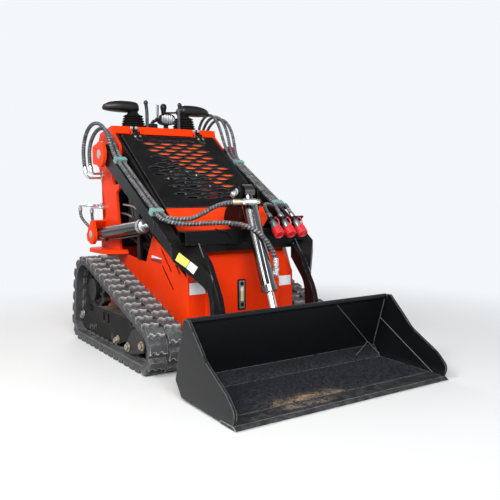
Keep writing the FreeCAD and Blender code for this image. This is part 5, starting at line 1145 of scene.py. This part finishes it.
cushion = moulded_pad(
    "thigh_cushion", low[0] * 1000, high[0] * 1000, (low[1] - DATUM_SHIFT) * 1000 - PAD_OVERHANG,
    (high[1] - DATUM_SHIFT) * 1000, low[2] * 1000, high[2] * 1000, REST_FOAM,
)
finish_piece(cushion, "chassis", 180)
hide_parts("thigh_pad")


# Platform. A folded tread plate on two arms that the rider stands on, hinged behind.

dress_node("platform", BLACK, 0.0015)
dress_node("platform_brackets", BLACK, 0.0015)


# Loader arms. Black channel beams bend inward through welded elbow plates to two narrow
# legs; a box tube with a thin cable on it joins them and carries the tilt cylinder's bracket.

ARM_BLACK = coated_steel(
    "arm_black", colour(12, 12, 14), 0.32, colour(120, 121, 124), wear=0.45, reach=0.003, dust=0.05,
    ground=0.08, bump=0.14, gleam=0.16,
)
for node in (
    "arm_beam_left", "elbow_left", "leg_left", "arm_beam_right", "elbow_right", "leg_right", "cross_tube",
    "tilt_bracket", "coupler_bracket",
):
    dress_node(node, ARM_BLACK, 0.002)
BEAM_CABLE = (
    (-186, -536, 668), (-176, -545, 660), (-150, -547, 657), (-122, -547, 648), (-104, -546, 630), (-98, -545, 616)
)
bent_rod("beam_cable", BEAM_CABLE, 4, BLACK, "arms")

YELLOW_FILM = decal_film("yellow_film", colour(236, 220, 98))
CREAM_FILM = decal_film("cream_film", colour(226, 222, 206))
INK_FILM = decal_film("ink_film", colour(30, 30, 32))
ELBOW_FOOT = Vector((-405.0, -526.4, 0.0))
ELBOW_WAY = Vector((129.0, -140.0, 0.0)).normalized()


def elbow_film(name, corners, finish):
    """A film on the slanted front of the right elbow plate. Corners are (along it, z)."""
    points = [ELBOW_FOOT + ELBOW_WAY * along + Vector((0, 0, z)) for along, z in corners]
    return laid_film(name, points, finish, "arms")


elbow_film("elbow_film_yellow", ((12, 533), (62, 499), (82.5, 530), (32, 567)), YELLOW_FILM)
elbow_film("elbow_film_line", ((62, 499), (65, 497), (85.5, 528), (82.5, 530)), INK_FILM)
elbow_film("elbow_film_cream", ((65, 497), (98, 469), (120, 502), (85.5, 528)), CREAM_FILM)
WELD_GREY = coated_steel(
    "weld_grey", colour(84, 84, 87), 0.5, colour(196, 195, 194), reach=0.002, wear=0.9, dust=0.2, bump=0.8,
    ripple=260.0, dust_tone=colour(150, 150, 152),
)
BEAD_STEP, BEAD_PASS, BEAD_SIDES = 0.004, 4.3, 8


def weld_bead(name, route, body, radius=3.2):
    """A welded seam: a low ridge whose radius swells and shrinks with each pass."""
    path = spline_points(name, [place(*at) for at in route])
    walk = [path[0]]
    for a, b in zip(path, path[1:]):
        steps = max(1, round((b - a).length / BEAD_STEP))
        walk += [a.lerp(b, i / steps) for i in range(1, steps + 1)]
    bead = tube_mesh(name, walk, radius / 1000.0, WELD_GREY, BEAD_SIDES)
    for i, vert in enumerate(bead.data.vertices):
        ring = min(i // BEAD_SIDES, len(walk) - 1)
        vert.co = walk[ring].lerp(vert.co, 0.82 + 0.18 * math.cos(ring * math.tau / BEAD_PASS))
    return finish_piece(bead, body, 60)


LEG_WELD = (
    (277, -542, 601), (277, -560, 574), (278, -592, 536), (279, -622, 494), (277, -650, 468), (276, -666, 446)
)
for side, sx in SIDES:
    weld_bead("leg_weld_" + side, [(sx * x, y, z) for x, y, z in LEG_WELD], "arms")


# Cylinders. Honed barrels in gloss black with bright glands and chromed rods lift the
# arms and tip the bucket. The tilt cylinder's hoses end in plated fittings on its ports.

GLOSS_BLACK = coated_steel("gloss_black", colour(8, 9, 11), 0.2, dust=0.02, coat=1.0, bump=0.0, ripple=8.0, gleam=0.2)
GLOSS_BLACK.node_tree.nodes["Principled BSDF"].inputs["Coat IOR"].default_value = 2.2
LIFT_BLACK = coated_steel("lift_black", colour(7, 8, 9), 0.25, dust=0.03, coat=0.35, bump=0.02, ripple=8.0, gleam=0.2)
CHROME = coated_steel("chrome_rod", colour(225, 228, 232), 0.12, dust=0.04, metal=1.0, bump=0.01)
LIFT_X, BARREL_REACH = 375, 636
LIFT_WAY = Vector((0, -0.9948, 0.1017))
GLAND = ((0, 35), (0, 38.6), (30, 38.6), (41, 33), (46, 22), (46, 17))
for side, sx in SIDES:
    dress_node("lift_barrel_" + side, LIFT_BLACK, 0.001)
    end = Vector((sx * LIFT_X, *LIFT_FOOT)) + LIFT_WAY * BARREL_REACH
    gland = turned_piece("lift_gland_" + side, end, LIFT_WAY, GLAND, ZINC)
    finish_piece(gland, "lift_barrel_" + side)
    dress_node("lift_rod_" + side, CHROME, 0.001)
dress_node("tilt_barrel", GLOSS_BLACK, 0.001)
dress_node("tilt_rod", CHROME, 0.001)


BRIGHT = coated_steel(
    "bright_plating", colour(226, 228, 230), 0.24, colour(250, 250, 250), wear=0.3, dust=0.08, metal=0.75, bump=0.05
)
BRASS = coated_steel(
    "brass_plating", colour(206, 190, 150), 0.28, colour(240, 230, 200), wear=0.4, dust=0.08, metal=0.75
)
# (distance along, radius) of the turned fittings
FERRULE = (
    (0, 11.5), (0, 13.5), (4, 14.6), (8, 13.4), (13, 13.4), (17, 14.6), (21, 13.4), (26, 13.4), (30, 14.6),
    (36, 14.2), (38, 12.0), (46, 12.0), (46, 0),
)
ELBOW = ((0, 12.8), (12, 12.8), (20, 14.2), (26, 12.8), (29, 8.0), (30, 0))
BOSS = ((0, 11.8), (8, 11.8), (8.5, 14.5), (18, 14.5), (18.5, 11.8), (28, 11.8))
TEE = (
    (0, 12.8), (14, 12.8), (15, 15.5), (24, 16.5), (40, 16.5), (46, 15.5), (47, 13.5), (55, 13.5), (57, 11), (57, 0)
)
PIN_HEAD = ((0, 15), (2, 17), (5, 17), (6, 15), (6.5, 9), (5, 8.5), (5, 0))


def fitting(name, at, way, profile, finish, body="tilt_barrel", sides=24):
    return finish_piece(turned_piece(name, at, way, profile, finish, sides), body, 30)


def hex_nut(name, at, way, radius, length, finish):
    profile = ((0, radius * 0.9), (1.5, radius), (length - 1.5, radius), (length, radius * 0.9), (length, 0))
    return fitting(name, at, way, profile, finish, sides=6)


low_end, low_way = Vector((52.0, -690.0, 482.0)), Vector((2.0, 2.0, -34.0)).normalized()
fitting("low_ferrule", low_end - low_way * 44, low_way, FERRULE, BRIGHT)
hex_nut("low_nut", low_end + low_way * 1, low_way, 16.5, 15, BRIGHT)
fitting("low_elbow", low_end + low_way * 15, low_way, ELBOW, BRIGHT)
fitting("low_boss", low_end + low_way * 30, (-1, 0, 0), BOSS, BRIGHT)
high_end, high_way = Vector((-62.0, -584.0, 791.0)), Vector((41.0, -30.0, 0.0)).normalized()
fitting("high_ferrule", high_end - high_way * 44, high_way, FERRULE, BRASS)
hex_nut("high_nut", high_end + high_way * 1, high_way, 16.5, 14, BRIGHT)
fitting("high_tee", high_end + high_way * 15, high_way, TEE, BRIGHT)
hex_nut("high_plug", high_end + high_way * 72, high_way, 12.0, 11, BRASS)
bolt_row("bracket_bolt", [(-54, -488, 828)], "-x", "arms", BRIGHT, 1.35)
fitting("bracket_pin", (-54, -520, 840), (-1, 0, 0), PIN_HEAD, BRIGHT, "arms")
bolt_row("bracket_bolts_left", [(54, -488, 828), (54, -520, 840)], "+x", "arms", BRIGHT, 1.35)


# Bucket. A folded shell of thick black plate with cut side plates, its floor scoured and
# dusty with a painted blue-grey sky sheen, and a bevelled wear edge rubbed to bare steel.

# the blue-grey laid on its upward faces is fine dust and scour, and partly a painted sky sheen
BUCKET_BLACK = coated_steel(
    "bucket_black", colour(12, 13, 16), 0.36, colour(150, 149, 147), wear=0.65, reach=0.004, dust=0.34,
    ground=0.06, bump=0.35, dust_tone=colour(104, 108, 116), gleam=0.24, patch=85.0,
)


def lay_sand(finish, middle, reach, tone):
    """Lays a broken patch of dry sand over a finish, around a place on the object."""
    tree = finish.node_tree
    shader = tree.nodes["Principled BSDF"]
    spot = add_node(tree, "ShaderNodeTexCoord")
    near = add_node(tree, "ShaderNodeMapping", {
        "Location": tuple(-m / r for m, r in zip(place(*middle), reach)),
        "Scale": tuple(1.0 / r for r in reach),
        "Vector": spot["Object"],
    })["Vector"]
    far = add_node(tree, "ShaderNodeVectorMath", {0: near}, operation="LENGTH")["Value"]
    inside = sum_node(tree, "SUBTRACT", 1.0, band_node(tree, far, 0.2, 1.0))
    cloud = noise_node(tree, 19.0, 8.0, spot["Object"], 0.78)
    grit = noise_node(tree, 220.0, 3.0, spot["Object"])
    share = sum_node(tree, "MULTIPLY_ADD", inside, 0.2, cloud)
    share = band_node(tree, sum_node(tree, "MULTIPLY_ADD", grit, 1.1, share), 1.2, 1.34)
    share = sum_node(tree, "MULTIPLY", share, inside, clamp=True)
    facing_up = add_node(tree, "ShaderNodeSeparateXYZ", {0: spot["Normal"]})["Z"]
    share = sum_node(tree, "MULTIPLY", share, band_node(tree, facing_up, 0.05, 0.3))
    base, rough = (shader.inputs[slot].links[0].from_socket for slot in ("Base Color", "Roughness"))
    feed(tree, shader, {
        "Base Color": mixed_colour(tree, share, base, tone),
        "Roughness": sum_node(tree, "MAXIMUM", rough, share),
    })


lay_sand(BUCKET_BLACK, (-130, -1190, 20), (0.34, 0.12, 0.2), colour(172, 142, 110))
WORN_EDGE = coated_steel(
    "worn_edge", colour(26, 27, 30), 0.4, colour(228, 226, 222), wear=1.0, reach=0.006, dust=0.3, metal=0.3,
    bump=0.5, ripple=30.0, dust_tone=colour(120, 120, 122), patch=40.0,
)
lay_sand(WORN_EDGE, (-190, -1228, 20), (0.26, 0.05, 0.2), colour(150, 132, 112))
dress_node("bucket_shell", BUCKET_BLACK, 0.002)
BUCKET_WELDS = (
    ((225, -921, 322), (360, -884, 208), (487, -849, 99)),
    ((490, -848, 96), (454, -850, 70), (400, -867, 47)),
    ((497, -848, 93), (522, -857, 60), (537, -882, 37)),
    ((537, -876, 226), (537, -1050, 118), (537, -1218, 20)),
    ((535, -920, 322), (535, -884, 208), (533, -849, 99)),
    ((-535, -920, 322), (-535, -884, 208), (-533, -849, 99)),
)
for count, route in enumerate(BUCKET_WELDS):
    weld_bead("bucket_weld_%d" % count, route, "bucket", 2.6)
dress_node("attach_plate", ARM_BLACK, 0.0015)
dress_node("cutting_edge", WORN_EDGE, 0.0015)


# Couplers. Three flat-faced hydraulic couplers in a plate, plated steel with bright red
# rubber dust caps, each on a rubber strap of its own.

CAP_RED = coated_steel("cap_red", colour(226, 40, 52), 0.38, dust=0.1, coat=0.2, bump=0.1, ripple=30.0)
COUPLER_PLATE, COUPLER_TAIL, COUPLER_TILT = (-546.0, 681.0), 64.0, math.radians(45.0)
COUPLER_BODY = (
    (0, 11), (0, 13), (4, 13.5), (26, 13.5), (30, 12), (31, 16), (44, 17), (46, 15), (62, 17), (76, 17),
    (78, 21), (96, 21), (98, 19), (98, 0),
)
CAP_AT, CAP_GROOVES, GROOVE_STEP = 98, 5, 7
STRAP = ((108, 24), (92, 40), (68, 42), (50, 30), (40, 15))
coupler_way = Vector((0, -math.cos(COUPLER_TILT), -math.sin(COUPLER_TILT)))
over = Vector((0, coupler_way.z, -coupler_way.y))
cap_profile = [(0, 15), (0, 26)]
for i in range(CAP_GROOVES):
    at = i * GROOVE_STEP
    cap_profile += [(3 + at, 27), (6 + at, 27), (7 + at, 25.4), (9 + at, 25.4)]
cap_profile += [(40, 27), (43, 25), (44, 19), (41, 17), (41, 0)]
for count, x in enumerate((142.0, 213.0, 284.0)):
    base = Vector((x, *COUPLER_PLATE)) - COUPLER_TAIL * coupler_way
    body = turned_piece("coupler_body_%d" % count, base, coupler_way, COUPLER_BODY, ZINC, 28)
    finish_piece(body, "arms")
    cap = turned_piece("coupler_cap_%d" % count, base + coupler_way * CAP_AT, coupler_way, cap_profile, CAP_RED, 28)
    finish_piece(cap, "arms")
    route = [base + coupler_way * along + over * out for along, out in STRAP]
    strap = bent_rod("coupler_strap_%d" % count, route, 3.5, CAP_RED, "arms", 10)
    for piece in (body, cap, strap):
        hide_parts("couplers")


# Hoses. Rubber pressure hoses in a woven sleeve loop from steel pipes on the posts over
# the arms' pivots, lie in clamps on the beams and run to the tilt cylinder and couplers.

def sleeved_hose(name):
    """Black rubber under a spiral woven sleeve whose ridges are painted pale as highlights, dusty on its upper side.
    """
    made, tree, shader = new_finish(name)
    wrap = add_node(tree, "ShaderNodeUVMap", uv_map="wrap")["UV"]
    parts = add_node(tree, "ShaderNodeSeparateXYZ", {0: wrap})
    turns = sum_node(tree, "MULTIPLY", parts["Y"], 1.0 / SLEEVE_PITCH)
    lay_one = sum_node(tree, "ADD", turns, parts["X"])
    lay_two = sum_node(tree, "SUBTRACT", turns, parts["X"])
    ridge = sum_node(tree, "SINE", sum_node(tree, "MULTIPLY", lay_one, math.tau))
    cross = sum_node(tree, "SINE", sum_node(tree, "MULTIPLY", lay_two, math.tau * 3))
    dusty = place_group(tree, SETTLED_DUST, amount=0.75, ground=0.1, scale=24.0)["Mask"]
    grain = place_group(tree, SURFACE_GRAIN, fine=500.0, ripple=40.0, share=0.7)
    # the sleeve's ridges are painted pale blue-grey: painted highlights on the weave, broken up by the grain
    lit = band_node(tree, ridge, 0.2, 0.9)
    speckled_highlight = sum_node(tree, "MULTIPLY", lit, band_node(tree, grain["Height"], 0.7, 1.1))
    base = mixed_colour(tree, speckled_highlight, colour(42, 43, 47), colour(172, 175, 180))
    feed(tree, shader, {
        "Base Color": mixed_colour(tree, dusty, base, colour(172, 170, 166)),
        "Roughness": mixed_value(tree, dusty, 0.42, 0.8),
        "Normal": raised_by(tree, sum_node(tree, "MULTIPLY_ADD", cross, 0.35, ridge), 0.5),
    })
    return made


SLEEVE_PITCH = 0.016
HOSE_SLEEVE = sleeved_hose("hose_sleeve")
PIVOT_HOSES_RIGHT = (
    (
        (-446.0, 548.0, 1000.0), (-449.0, 560.0, 1070.0), (-447.0, 543.0, 1147.0), (-442.0, 497.0, 1208.0),
        (-434.0, 429.0, 1241.0), (-424.0, 355.0, 1240.0), (-412.0, 289.0, 1204.0), (-402.0, 244.0, 1141.0),
        (-393.0, 229.0, 1088.0), (-390.0, 204.0, 1046.8), (-390.0, 166.0, 1024.0),
    ),
    (
        (-421.0, 520.0, 1005.0), (-422.0, 535.0, 1062.0), (-420.0, 520.0, 1128.0), (-414.0, 475.0, 1180.0),
        (-405.0, 412.0, 1212.0), (-394.0, 350.0, 1212.0), (-384.0, 303.0, 1179.0), (-374.0, 266.0, 1130.0),
        (-366.0, 232.0, 1080.0), (-362.0, 194.0, 1040.8), (-362.0, 166.0, 1024.0),
    ),
)
PIVOT_HOSES_LEFT = (
    (
        (354.5, 632.0, 1005.0), (354.5, 636.0, 1072.0), (355.0, 641.0, 1142.0), (355.0, 635.0, 1212.0),
        (355.0, 608.0, 1280.0), (355.0, 556.0, 1329.0), (355.0, 488.0, 1346.0), (355.0, 420.0, 1328.0),
        (355.0, 366.0, 1283.0), (354.5, 326.0, 1221.0), (354.5, 293.0, 1156.0), (354.5, 256.0, 1098.0),
        (354.5, 212.0, 1051.6), (354.5, 166.0, 1024.0),
    ),
    (
        (376.0, 636.0, 1005.0), (377.0, 645.0, 1072.0), (378.0, 648.0, 1146.0), (379.0, 630.0, 1218.0),
        (380.0, 588.0, 1280.0), (380.0, 526.0, 1321.0), (380.0, 452.0, 1333.0), (379.0, 382.0, 1315.0),
        (378.0, 324.0, 1270.0), (377.0, 285.0, 1208.0), (376.0, 262.0, 1145.0), (376.0, 240.0, 1090.0),
        (376.0, 206.0, 1048.0), (376.0, 166.0, 1024.0),
    ),
    (
        (397.5, 640.0, 1005.0), (399.0, 653.0, 1068.0), (401.0, 655.0, 1138.0), (403.0, 633.0, 1206.0),
        (405.0, 588.0, 1262.0), (406.0, 526.0, 1301.0), (406.0, 455.0, 1316.0), (405.0, 384.0, 1306.0),
        (403.0, 320.0, 1272.0), (401.0, 272.0, 1218.0), (399.0, 243.0, 1153.0), (398.0, 230.0, 1092.0),
        (397.5, 204.0, 1046.8), (397.5, 166.0, 1024.0),
    ),
)
TILT_HOSES = (
    (
        (-390.0, 166.0, 1024.0), (-390.0, -334.0, 724.3), (-366.0, -388.0, 704.0), (-318.0, -428.0, 692.0),
        (-255.0, -459.0, 689.0), (-190.0, -502.0, 694.0), (-130.0, -556.0, 695.0), (-74.0, -612.0, 685.0),
        (-28.0, -653.0, 656.0), (9.0, -676.0, 612.0), (36.0, -688.0, 562.0), (50.0, -692.0, 516.0),
        (52.0, -690.0, 482.0),
    ),
    (
        (-362.0, 166.0, 1024.0), (-362.0, -332.0, 725.5), (-338.0, -374.0, 716.0), (-294.0, -400.0, 711.0),
        (-246.0, -416.0, 714.0), (-206.0, -433.0, 731.0), (-170.0, -464.0, 760.0), (-136.0, -508.0, 782.0),
        (-103.0, -554.0, 791.0), (-62.0, -584.0, 791.0),
    ),
)
COUPLER_HOSES = (
    (
        (354.5, 166.0, 1024.0), (354.5, -276.0, 759.1), (338.3, -309.7, 749.6), (307.9, -335.3, 754.0),
        (275.1, -356.7, 761.8), (241.6, -377.2, 769.7), (208.3, -398.5, 775.8), (176.5, -422.8, 777.0),
        (151.2, -451.9, 768.0), (142.0, -482.4, 744.6), (142.0, -500.7, 726.3),
    ),
    (
        (376.0, 166.0, 1024.0), (376.0, -276.0, 759.1), (370.4, -309.2, 744.2), (351.4, -340.4, 742.4),
        (324.5, -364.1, 751.2), (295.3, -383.3, 763.5), (265.5, -402.3, 774.8), (237.1, -425.4, 779.2),
        (218.0, -454.4, 768.1), (213.0, -482.4, 744.6), (213.0, -500.7, 726.3),
    ),
    (
        (397.5, 166.0, 1024.0), (397.5, -276.0, 759.1), (386.8, -308.4, 752.4), (367.2, -337.8, 757.6),
        (345.9, -365.4, 765.1), (324.5, -393.3, 771.3), (304.5, -422.8, 772.8), (289.4, -453.9, 765.0),
        (284.0, -482.4, 744.6), (284.0, -500.7, 726.3),
    ),
)
LIFT_HOSES = (
    ((440.0, 676.0, 741.5), (440.0, 676.0, 716.5), (427.0, 662.2, 683.2), (398.0, 615.0, 637.0)),
    ((372.0, 664.0, 730.0), (372.0, 664.0, 702.0), (372.0, 650.0, 671.0), (372.0, 609.0, 637.0)),
)


def lay_hoses(name, routes, radius, node, body, bend=None):
    """Hoses of one node, each a smooth tube along its route."""
    for count, route in enumerate(routes):
        points = [place(*p) for p in route]
        path = spline_points(name, points)
        hose = tube_mesh("%s_%d" % (name, count), path, radius / 1000.0, HOSE_SLEEVE)
        hose.data.shade_smooth()
        hose.data.set_sharp_from_angle(angle=math.radians(60))
        if bend:
            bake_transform(hose)
        else:
            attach(hose, body)
        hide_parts(node)
        length = sum((b - a).length for a, b in zip(path, path[1:]))
        if length < 12.0 * radius / 1000.0:
            continue


def mirrored_routes(routes):
    return tuple(tuple((-x, y, z) for x, y, z in route) for route in routes)


# bodies that a hose joins, and places along it; given these, the hose is laid in place and rides on neither body
over_pivot = ("chassis", "arms", place(0, 560, 1000), place(0, 190, 1040))
lay_hoses("pivot_hose_right", PIVOT_HOSES_RIGHT, 11.0, "pivot_hoses_right", "arms", over_pivot)
lay_hoses("pivot_hose_left", PIVOT_HOSES_LEFT, 9.5, "pivot_hoses_left", "arms", over_pivot)
onto_barrel = ("arms", "tilt_barrel", place(-200, -440, 740), place(0, -640, 740))
lay_hoses("tilt_hose", TILT_HOSES, 11.0, "tilt_hoses", "arms", onto_barrel)
lay_hoses("coupler_hose", COUPLER_HOSES, 9.5, "coupler_hoses", "arms")
lay_hoses("lift_hose_left", LIFT_HOSES, 9.0, "lift_hoses_left", "chassis")
lay_hoses("lift_hose_right", mirrored_routes(LIFT_HOSES), 9.0, "lift_hoses_right", "chassis")
PIPE_BRIGHT = coated_steel(
    "pipe_bright", colour(222, 224, 226), 0.2, colour(160, 160, 160), wear=0.3, dust=0.06, metal=0.8, bump=0.04
)
CLAMP_TEAL = coated_steel(
    "clamp_teal", colour(120, 168, 164), 0.45, colour(190, 214, 212), wear=0.5, dust=0.3, bump=0.1
)
dress_node("hose_pipes_left", PIPE_BRIGHT, 0.001)
dress_node("hose_pipes_right", PIPE_BRIGHT, 0.001)
dress_node("hose_clamps", CLAMP_TEAL, 0.004)
